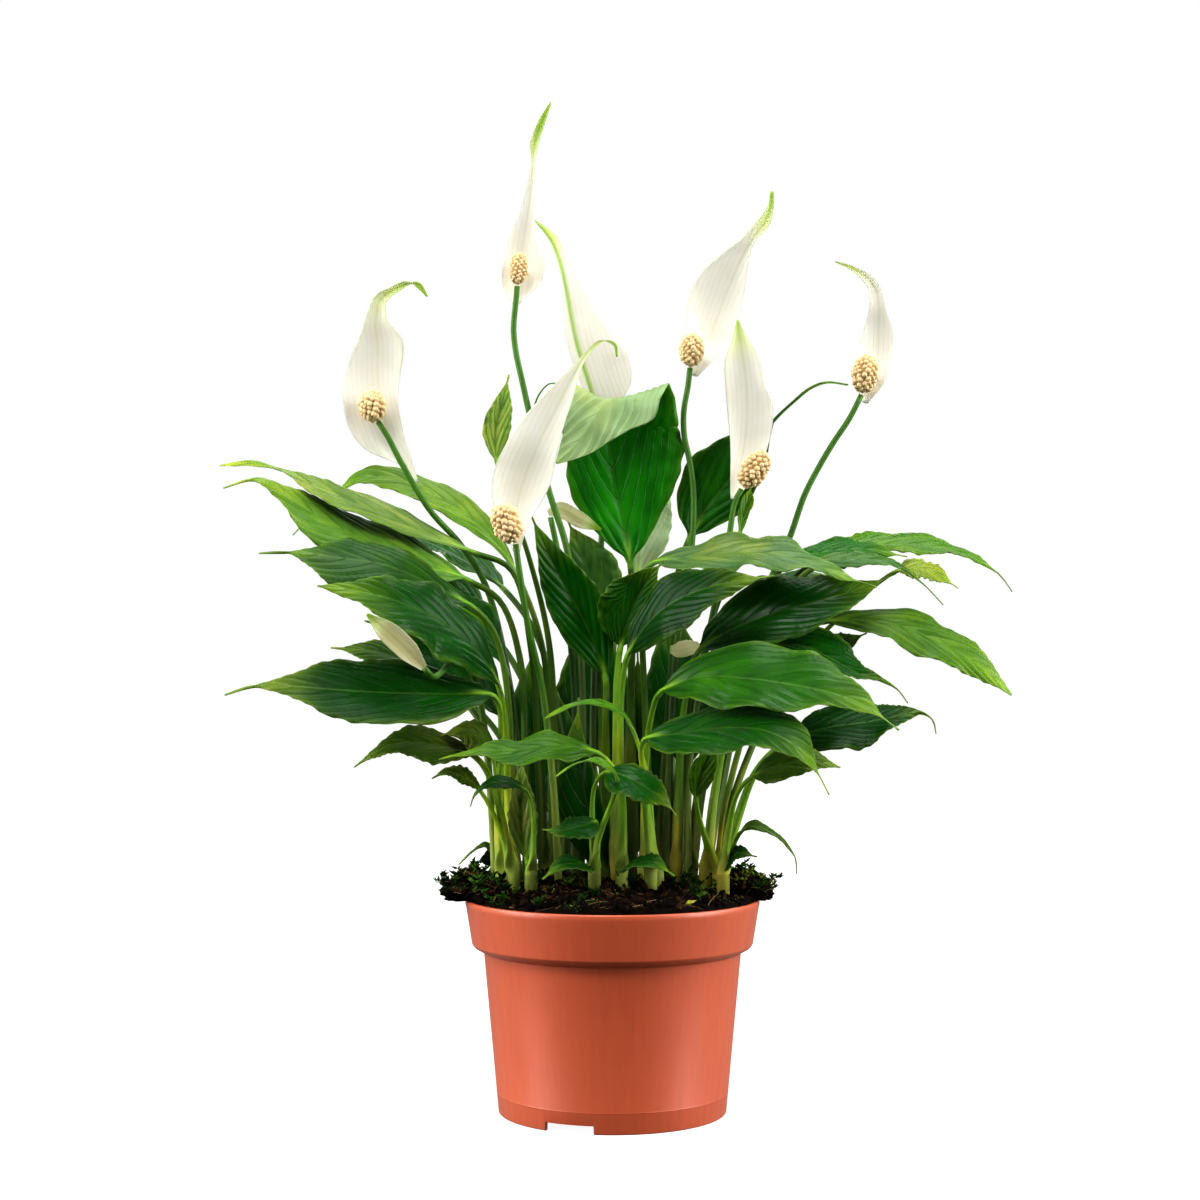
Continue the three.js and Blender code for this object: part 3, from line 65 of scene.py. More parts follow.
# ---- leaves: each list is one shoot, whose leaves share its foot ----
# foot [across, depth], stalk points, rib points of the blade, ways to the left and right margins;
# widths to the left and right of each rib point, where the common outline doesn't fit
SHOOTS = {
    "leaf_left_1": [dict(
        tone="mid", wave=[0.8, 3], foot=[-30, 6],
        widths=[[1.4, 1.4], [8, 9], [12, 12], [13.5, 13], [9, 8], [2.2, 2.2], [3, 3], [0.5, 0.5]],
        stalk=[[-32, 8.5, 150], [-36, 8, 205], [-45, 8, 239]],
        rib=[[-62, 6, 246.5], [-82, 4, 254.5], [-100, 2, 262.5], [-116, 0, 269], [-132, -4, 276],
            [-149, -4, 283.5], [-161, 1, 286], [-174.5, 5, 285]],
        left=[0, -13, -6], right=[0, 12, 6.5],
    )],
    "leaf_left_2": [dict(
        tone="mid", tail=0.08, wave=[1.2, 3], foot=[-37, 4],
        stalk=[[-38, 6, 150], [-41, 4, 200], [-50, 2, 225]],
        rib=[[-64, 0, 234], [-90, -6, 245], [-114, -10, 254], [-132, -14, 263], [-146, -18, 273],
            [-158, -20, 279], [-173, -20, 275]],
        left=[-3, -13, -11], right=[2, 13, 8],
    )],
    "shoot_left_3": [dict(
        tone="light", tail=0.12, wave=[0.8, 3], foot=[-25, 2],
        stalk=[[-26, 6, 150], [-31, 12, 205]],
        rib=[[-42, 16, 236], [-52, 18, 251], [-66, 20, 264], [-82, 22, 273], [-99, 22, 279.5],
            [-113, 20, 279], [-123, 18, 271.5], [-132, 16, 264.5], [-142, 14, 254]],
        left=[0, -10, -6], right=[0, 9, 6.5],
    ), dict(
        tone="light", small=True, foot=[-25, 2],
        stalk=[[-26, 5, 150], [-28, 5, 205], [-37, -3, 244], [-46, -6, 270]],
        rib=[[-51.5, -6, 287], [-52, -6, 300], [-49, -6, 313], [-46, -6, 325.5]],
        left=[-5, -2, 0], right=[6, -2, 0],
    )],
    "leaf_left_4": [dict(
        tone="mid", tail=0.12, peak=0.56, wave=[1.4, 3], foot=[-43, -2],
        stalk=[[-44, -3, 140], [-47, -5, 190], [-53, -10, 212]],
        rib=[[-62, -16, 222], [-82, -26, 233], [-102, -33, 241], [-122, -38, 244],
            [-140, -40, 246.5], [-157, -40, 246]],
        left=[0, -14, -16], right=[0, 12, 8.5],
    )],
    "leaf_left_5": [dict(
        tone="dark", tail=0, peak=0.4, wave=[2, 4], foot=[-44, -11],
        stalk=[[-46, -14, 140], [-47, -18, 166]],
        rib=[[-50, -24, 186], [-60, -33, 203], [-76, -43, 215.5], [-94, -53, 224], [-113, -60, 229],
            [-131, -65, 231.5]],
        left=[0, -14, -13], right=[0, 12, 12],
    )],
    "shoot_left_6": [dict(
        tone="mid", wave=[1.5, 3], foot=[-44, 6],
        stalk=[[-44, 8, 140], [-45, 9, 180]],
        rib=[[-47, 9, 194], [-56, 9, 211], [-73, 11, 225], [-90, 13, 235], [-104, 14, 241]],
        left=[0, -11, -11], right=[0, 9, 9],
    ), dict(
        tone="dark", small=True, wave=[1.2, 2], foot=[-44, 6],
        stalk=[[-45, 4, 140], [-46, 2, 158]],
        rib=[[-49, 0, 172], [-60, 0, 190], [-77, 1, 203], [-93, 2, 211], [-110, 2, 216]],
        left=[0, -10, -13], right=[0, 11, 12],
    ), dict(
        tone="grey", wave=[1, 2], foot=[-44, 6],
        stalk=[[-47, 8, 130], [-54, 12, 162]],
        rib=[[-67, 21, 182], [-84, 24, 194], [-104, 25, 202], [-125, 24, 204]],
        left=[0, -11, -9.5], right=[0, 9, 9],
    )],
    "leaf_left_7": [dict(
        tone="dark", tail=0.1, peak=0.48, wave=[1.3, 3], foot=[-49, -18],
        stalk=[[-50, -22, 130], [-49, -28, 165]],
        rib=[[-52, -36, 182], [-74, -46, 183.5], [-100, -54, 184], [-126, -60, 185.5],
            [-146, -64, 187], [-159, -66, 187], [-172, -68, 183]],
        left=[0, -15, -11.5], right=[0, 15, 12.5],
    )],
    "shoot_left_8": [dict(
        tone="olive", wave=[1, 2], foot=[-44, -24],
        stalk=[[-47, -28, 120], [-53, -30, 144]],
        rib=[[-61, -32, 156], [-78, -38, 161], [-96, -43, 161.5], [-106, -45, 157],
            [-114.5, -46, 151]],
        left=[0, -11, -6], right=[0, 9, 5.5],
    ), dict(
        tone="olive", small=True, foot=[-44, -24],
        stalk=[[-48, -28, 122], [-51, -31, 142]],
        rib=[[-53, -33, 156], [-58, -34, 165], [-66, -34, 168], [-76, -33, 165]],
        left=[0, -6, -7], right=[0, 6, 4],
    ), dict(
        tone="olive", small=True, foot=[-44, -24],
        stalk=[[-49, -30, 122]],
        rib=[[-58, -32, 140], [-66, -33, 147], [-74, -34, 149], [-80, -35, 146]],
        left=[0, -5, -2.5], right=[0, 5, 3],
    )],
    "shoot_left_9": [dict(
        tone="light", small=True, tail=0, foot=[-36, -28],
        rib=[[-38, -29, 110], [-40, -30, 119], [-41, -31, 130], [-41, -32, 142], [-40, -32, 154]],
        left=[-4.5, -3, 0], right=[7, -3, 0],
    ), dict(
        tone="dark", small=True, foot=[-36, -28],
        stalk=[[-35, -33, 112], [-35, -37, 130]],
        rib=[[-38, -39, 140.5], [-46, -41, 144.5], [-55, -42, 143.5], [-61, -42, 139],
            [-63, -42, 133.5]],
        left=[0, -4, -2], right=[0, 4, 2],
    )],
    "shoot_left_10": [dict(
        tone="dark", small=True, foot=[-53, 1],
        rib=[[-53, 0, 107], [-53, -1, 111], [-54, -2, 117]],
        left=[-5, -2, 0], right=[5.5, -2, 0],
    ), dict(
        tone="olive", small=True,
        rib=[[-53, 1, 104], [-52, -2, 112], [-56, -4, 116.5], [-62, -5, 114], [-68, -6, 108]],
        left=[0, -1.8, -1], right=[0, 1.8, 1],
    )],
    "shoot_front_1": [dict(
        tone="light", wave=[1.4, 3], foot=[4, -24],
        stalk=[[5, -28, 120], [3, -36, 146]],
        rib=[[-6, -42, 157], [-24, -52, 161], [-44, -58, 158.5], [-62, -61, 158],
            [-77, -62, 154.5]],
        left=[0, -9, -5.5], right=[0, 9, 4],
    ), dict(
        tone="dark", small=True,
        rib=[[4, -25, 105], [9, -36, 108], [18, -43, 109], [27.5, -47, 103]],
        left=[4, 5, 3], right=[-4, -5, -2],
    )],
    "shoot_front_2": [dict(
        tone="dark", small=True, wave=[0.8, 2], foot=[-8, -28],
        stalk=[[-9, -33, 120], [-8, -40, 143]],
        rib=[[-3, -46, 149], [6, -53, 147], [15, -57, 142], [23, -59, 136.5], [28.5, -60, 129.5]],
        left=[2, 8, 5], right=[-2, -9, -6.5],
    ), dict(
        tone="dark", small=True, foot=[-8, -28],
        stalk=[[-7, -31, 110], [-6, -36, 122]],
        rib=[[-7, -40, 127], [-14, -46, 125], [-23, -48, 123], [-31, -49, 123.5]],
        left=[0, -7, -4], right=[0, 7, 3.5],
    ), dict(
        tone="dark", small=True,
        rib=[[-8, -29, 105], [-14, -38, 108], [-23, -44, 107.5], [-31, -47, 101.5]],
        left=[4, -5, -2], right=[-4, 5, 3],
    ), dict(
        tone="light", small=True, tail=0.3, foot=[-8, -28],
        stalk=[[-7, -33, 116], [0, -45, 136]],
        rib=[[2.5, -56, 145], [-1, -63, 151], [-8, -67, 154], [-17, -69, 152.5], [-25, -70, 147]],
        left=[0, -1.9, -1.3], right=[0, 1.9, 1.3],
    )],
    "leaf_front_3": [dict(
        tone="light", small=True, foot=[20, -18],
        widths=[[1.8, 1.8], [2.3, 2.3], [2, 2], [1.7, 1.7], [1.4, 1.4], [0.5, 0.5]],
        stalk=[[18, -20, 120], [16, -22, 146], [12.5, -24, 158]],
        rib=[[9.5, -26, 167], [4, -28, 175.5], [-6, -30, 179.5], [-17, -32, 179], [-25, -33, 175.5],
            [-30, -34, 172.5]],
        left=[0, -2.6, -2], right=[0, 2.6, 2],
    )],
    "leaf_centre_1": [dict(
        # its last third is folded forward and hangs in front of the blade
        tone="dark", wave=[0.8, 3], turn_from=0.62, foot=[8, 8],
        widths=[[1.5, 1.5], [14, 17], [21, 31], [21, 32], [18, 28], [13, 15], [8, 7], [0.5, 0.5]],
        stalk=[[8, 12, 150], [8.5, 16, 205], [8.5, 18, 232]],
        rib=[[8, 18, 241], [5, 19, 259], [1, 18, 278], [-2, 15, 302], [-1, 9, 314.5], [-8, 3, 306],
            [-16, 1, 294.5], [-25, 0, 286]],
        left=[-1, -0.2, -0.1], right=[1, -0.1, 0.2], tip_left=[-0.6, 0.1, 0.8],
        tip_right=[0.8, 0, -0.6],
    )],
    "shoot_centre_2": [dict(
        tone="mid", wave=[1, 3], foot=[2, -8],
        stalk=[[2, -8, 140], [2, -7, 190]],
        rib=[[3.5, -8, 204], [6, -10, 214], [11, -12, 226], [17, -15, 236], [23, -17, 242.5]],
        left=[-12, -4, 6], right=[9, -4, -4],
    ), dict(
        tone="dark", wave=[1.2, 3], foot=[2, -8],
        stalk=[[3, -9, 140], [4, -13, 185]],
        rib=[[6.5, -20, 200], [13, -26, 211.5], [25, -34, 223], [42, -42, 230.5], [58, -48, 234],
            [72, -52, 236]],
        left=[-3, 8, 9.5], right=[4, -10, -10],
    )],
    "shoot_centre_3": [dict(
        tone="dark", wave=[1, 3], foot=[-3, 2],
        stalk=[[-3, 1, 140], [-3, -3, 175]],
        rib=[[-3, -2, 190], [-9, -4, 208], [-18, -7, 226], [-29, -11, 247], [-37, -14, 265]],
        left=[-9, -3, -6], right=[9, -3, 6],
    ), dict(
        tone="grey", small=True, wave=[0.8, 2], foot=[-3, 2],
        stalk=[[-4, 6, 140], [-6, 13, 195]],
        rib=[[-7, 16, 216], [-10, 18, 234], [-15, 19, 249], [-20, 20, 261]],
        left=[-8, -2, -2], right=[13, -2, 2],
    ), dict(
        tone="dark", small=True,
        rib=[[-3, 1, 104], [-7, -6, 120], [-12, -10, 138], [-15, -11, 158], [-15, -10, 182]],
        left=[-12, -2, 0], right=[6.5, -2, 0],
    )],
    "leaf_right_1": [dict(
        tone="mid", tail=0.36, wave=[0.8, 3], foot=[23, 15],
        stalk=[[24, 19, 150], [27, 22, 205], [29, 23, 236]],
        rib=[[34, 24, 252], [41, 24, 265], [51, 23, 277.5], [62, 21, 292], [72, 19, 305],
            [80, 17, 313], [88, 16, 319.5], [95, 15, 322], [105, 15, 321]],
        left=[-16, -3, 7], right=[9, -3, -8],
    ), dict(
        # a young leaf that is still rolled
        tone="light", small=True, tail=0, peak=0.7, foot=[23, 15],
        stalk=[[30, 14, 150], [44, 11, 215], [53, 11, 240]],
        rib=[[56.5, 12.5, 254], [58, 15, 262], [60, 17.5, 269], [61.5, 19, 275]],
        left=[-2.6, -1, 0], right=[2.6, -1, 0],
    )],
    "leaf_right_2": [dict(
        tone="grey", wave=[1.8, 4], foot=[15, 0],
        stalk=[[15, 1, 150], [13, 0, 205], [12, -2, 231]],
        rib=[[17, -7, 241], [38, -15, 244.5], [62, -22, 246.5], [84, -28, 243], [102, -32, 236],
            [117.5, -34, 231]],
        left=[0, 13, 7.5], right=[0, -13, -7],
    )],
    "leaf_right_3": [dict(
        tone="dark", wave=[1.2, 3], foot=[28, -3],
        stalk=[[29, -5, 140], [32, -10, 180]],
        rib=[[38, -14, 202], [53, -19, 212], [72, -22, 219.5], [92, -22, 225], [110, -19, 230],
            [126, -16, 237]],
        left=[-4, 10, 13], right=[2, -10, -11],
    )],
    "leaf_right_4": [dict(
        tone="light", wave=[1.3, 3], foot=[35, 3],
        widths=[[1.4, 1.4], [7, 7], [12, 11.5], [14, 13.5], [11, 10.5], [5, 5], [0.5, 0.5]],
        stalk=[[39, 1, 140], [50, -5, 182], [62, -9, 202], [76, -11, 211]],
        rib=[[93, -11, 215.5], [108, -12, 216.5], [125, -14, 214.5], [141, -17, 208.5],
            [158, -20, 199.5], [170, -22, 190], [177, -23, 183]],
        left=[4, 13, 9.5], right=[-6, -12, -10],
    )],
    "shoot_right_5": [dict(
        tone="olive", tail=0.14, wave=[1, 3], foot=[41, 12],
        stalk=[[47, 16, 140], [60, 21, 195], [80, 25, 232]],
        rib=[[100, 26, 245], [118, 24, 249.5], [135, 20, 250], [150, 15, 247.5], [164, 9, 242],
            [172, 5, 236.5], [177.5, 2, 229]],
        left=[0, 12, 4.5], right=[0, -10, -4],
    ), dict(
        tone="light", small=True, wave=[0.6, 2], foot=[41, 12],
        stalk=[[48, 19, 140], [62, 34, 200], [80, 44, 232]],
        rib=[[94, 48, 243], [107, 50, 250], [118, 50, 253], [129, 48, 255]],
        left=[0, 8, 4], right=[0, -6, -3],
    )],
    "shoot_right_6": [dict(
        tone="mid", wave=[1, 3], foot=[34, 12],
        stalk=[[38, 13, 140], [49, 13, 190], [66, 9, 228]],
        rib=[[79, 4, 242], [97, 2, 247], [114, 0, 247.5], [131, -2, 244.5]],
        left=[0, 8, 5], right=[0, -9, -7],
    ), dict(
        tone="grey", small=True, tail=0.3, foot=[34, 12],
        stalk=[[39, 12, 140], [56, 4, 195], [76, -5, 230]],
        rib=[[88, -10, 241], [103, -13, 243.5], [118, -15, 243], [128, -16, 240], [138, -18, 232.5],
            [147, -19, 223]],
        left=[0, 7, 3], right=[0, -8, -3.5],
    )],
    "shoot_right_7": [dict(
        tone="light", small=True, wave=[0.8, 2], foot=[46, -3],
        stalk=[[54, -3, 140], [78, 5, 192], [102, 6, 219], [115, 2, 230.5]],
        rib=[[126, -2, 238], [134, -4, 240], [144, -6, 237], [153.5, -8, 230.5]],
        left=[0, 7, 4], right=[-1, -8, -5],
    ), dict(
        tone="light", small=True, foot=[46, -3],
        stalk=[[51, -4, 140], [66, -2, 182]],
        rib=[[87, 0, 198], [96, 0, 204], [105, -1, 207.5], [113, -2, 210.5]],
        left=[-1, 6, 4], right=[0, -6, -6],
    )],
    "leaf_right_8": [dict(
        tone="mid", wave=[1.8, 4], foot=[14, -8],
        stalk=[[14, -10, 130], [14.5, -15, 155], [17.5, -26, 176]],
        rib=[[21, -35, 184], [38, -49, 191], [58, -63, 190.5], [80, -77, 187.5], [100, -91, 183],
            [115, -102, 176.5], [127, -111, 167.5]],
        left=[0, 15, 12], right=[0, -14, -9.5],
    )],
    "leaf_right_9": [dict(
        tone="dark", wave=[1.4, 3], foot=[17, -24],
        stalk=[[16, -29, 120], [13.5, -37, 148]],
        rib=[[13.5, -45, 162.5], [30, -59, 166], [50, -74, 168.5], [68, -87, 167],
            [82, -100, 159.5], [90, -107, 150], [96, -111, 139]],
        left=[2, 14, 9], right=[-2, -13, -8],
    )],
    "shoot_right_10": [dict(
        tone="dark", tail=0.16, wave=[1.6, 3], foot=[47, -12],
        stalk=[[54, -20, 125], [64, -28, 150]],
        rib=[[78, -36, 163], [95, -43, 168.5], [113, -47, 171], [128, -50, 174], [137, -51, 175.5],
            [142, -52, 172], [143.5, -52, 166]],
        left=[0, 12, 9], right=[0, -10, -9],
    ), dict(
        tone="light", small=True, foot=[47, -12],
        stalk=[[41, -21, 120]],
        rib=[[37, -25, 137], [39, -28, 147], [43, -31, 158], [45, -31, 169]],
        left=[-5, -2, 0], right=[5, -2, 0],
    )],
    "leaf_right_11": [dict(
        tone="dark", tail=0.2, wave=[1, 3], foot=[41, -8],
        stalk=[[45, -12, 140], [55, -18, 183]],
        rib=[[68, -22, 203], [84, -27, 205], [99, -31, 198], [110, -33, 192], [119, -34, 190],
            [126, -35, 186], [131, -35, 179.5]],
        left=[2, 10, 9], right=[-2, -9, -5],
    )],
    "shoot_right_12": [dict(
        tone="olive", small=True, tail=0, foot=[49, -24],
        stalk=[[51, -31, 120], [55, -42, 139]],
        rib=[[62, -51, 147], [74, -60, 152], [88, -66, 154], [101, -69, 151]],
        left=[0, 7, 5.5], right=[0, -7, -5.5],
    ), dict(
        tone="olive", small=True, tail=0.3, foot=[49, -24],
        stalk=[[52, -24, 112]],
        rib=[[56, -28, 121.5], [62, -31, 125.5], [70, -34, 122.5], [77, -36, 117], [81, -37, 111],
            [81.5, -37, 104]],
        left=[0, 3, 1.5], right=[0, -3, -1.5],
    ), dict(
        tone="dark", small=True,
        rib=[[49, -25, 105], [55, -30, 113], [64, -34, 111.5]],
        left=[0, 4, 2.5], right=[0, -4, -2.5],
    )],
    "shoot_back_1": [dict(
        tone="dark", wave=[1.4, 3], foot=[-19, 24],
        stalk=[[-25, 34, 150], [-42, 54, 194]],
        rib=[[-56, 66, 213], [-73, 82, 226], [-90, 96, 231.5], [-104, 106, 230], [-113, 113, 226]],
        left=[-4, -8, -8], right=[4, 8, 10],
    ), dict(
        tone="dark", wave=[1.4, 3], foot=[-19, 24],
        stalk=[[-32, 44, 130], [-48, 64, 162]],
        rib=[[-62, 74, 178], [-83, 88, 185], [-104, 98, 185], [-121, 106, 182]],
        left=[-5, -8, -9], right=[5, 8, 11],
    ), dict(
        tone="mid", wave=[1.2, 3], foot=[-19, 24],
        stalk=[[-21, 27, 150], [-32, 34, 206]],
        rib=[[-48, 44, 230], [-66, 58, 243], [-86, 72, 252], [-103, 82, 253]],
        left=[-7, -10, 0], right=[7, 10, 2],
    ), dict(
        tone="dark", small=True, wave=[1, 2], foot=[-19, 24],
        stalk=[[-22, 28, 122]],
        rib=[[-27, 31, 130], [-31, 36, 154], [-34, 42, 180], [-35, 47, 208]],
        left=[-15, -3, 0], right=[15, -3, 0],
    ), dict(
        tone="dark", small=True,
        rib=[[-19, 25, 104], [-24, 34, 116], [-31, 42, 130], [-36, 48, 143]],
        left=[-13, -4, 0], right=[13, -4, 0],
    )],
    "shoot_back_2": [dict(
        tone="mid", wave=[1.4, 3], foot=[2, 30],
        stalk=[[1, 44, 150], [0, 62, 190]],
        rib=[[1, 70, 208], [5, 84, 224], [10, 98, 231], [15, 109, 231], [20, 117, 226]],
        left=[-14, 4, 0], right=[14, -4, 2],
    ), dict(
        tone="dark", wave=[1.2, 3], foot=[2, 30],
        stalk=[[6, 38, 150], [9, 48, 205]],
        rib=[[11, 56, 235], [14, 66, 262], [17, 76, 282], [19, 84, 296]],
        left=[12, 3, -3], right=[-11, 3, 0],
    ), dict(
        tone="dark", small=True, wave=[1, 2], foot=[2, 30],
        stalk=[[-2, 34, 130]],
        rib=[[-5, 38, 150], [-8, 44, 175], [-8, 50, 200], [-5, 56, 224]],
        left=[-16, -3, 0], right=[16, -3, 0],
    ), dict(
        tone="dark", small=True, wave=[1, 2], foot=[2, 30],
        stalk=[[-6, 42, 116]],
        rib=[[-12, 54, 134], [-22, 74, 154], [-32, 92, 166], [-42, 108, 168]],
        left=[-9, -9, -2], right=[9, 9, 6],
    ), dict(
        tone="dark", small=True, wave=[1, 2], foot=[2, 30],
        rib=[[6, 33, 108], [10, 38, 126], [12, 43, 150], [12, 47, 178], [11, 51, 206]],
        left=[-14, -2, 0], right=[11, -2, 0],
    )],
    "shoot_back_3": [dict(
        tone="dark", wave=[1.4, 3], foot=[27, 27],
        stalk=[[32, 38, 150], [44, 54, 195]],
        rib=[[58, 66, 215], [73, 82, 230], [87, 95, 236], [103, 108, 235]],
        left=[-10, 9, 3], right=[10, -9, 0],
    ), dict(
        tone="mid", wave=[1.4, 3], foot=[27, 27],
        stalk=[[26, 50, 140], [28, 72, 172]],
        rib=[[36, 82, 186], [51, 94, 193], [68, 105, 193.5], [84, 114, 188]],
        left=[-10, 9, 3], right=[10, -9, 0],
    ), dict(
        tone="dark", small=True, wave=[1, 2], foot=[27, 27],
        stalk=[[32, 32, 130]],
        rib=[[33, 38, 150], [30, 44, 176], [28, 49, 202], [27, 54, 228]],
        left=[-14, -3, 0], right=[14, -3, 0],
    ), dict(
        tone="dark", small=True, wave=[1, 2], foot=[27, 27],
        stalk=[[24, 42, 116]],
        rib=[[24, 54, 134], [30, 76, 148], [38, 96, 152], [48, 114, 148]],
        left=[-11, 6, 3], right=[11, -6, 0],
    ), dict(
        tone="dark", small=True,
        rib=[[27, 28, 104], [25, 36, 116], [22, 44, 130], [21, 50, 144]],
        left=[-7, -3, 0], right=[13, -3, 0],
    )],
}

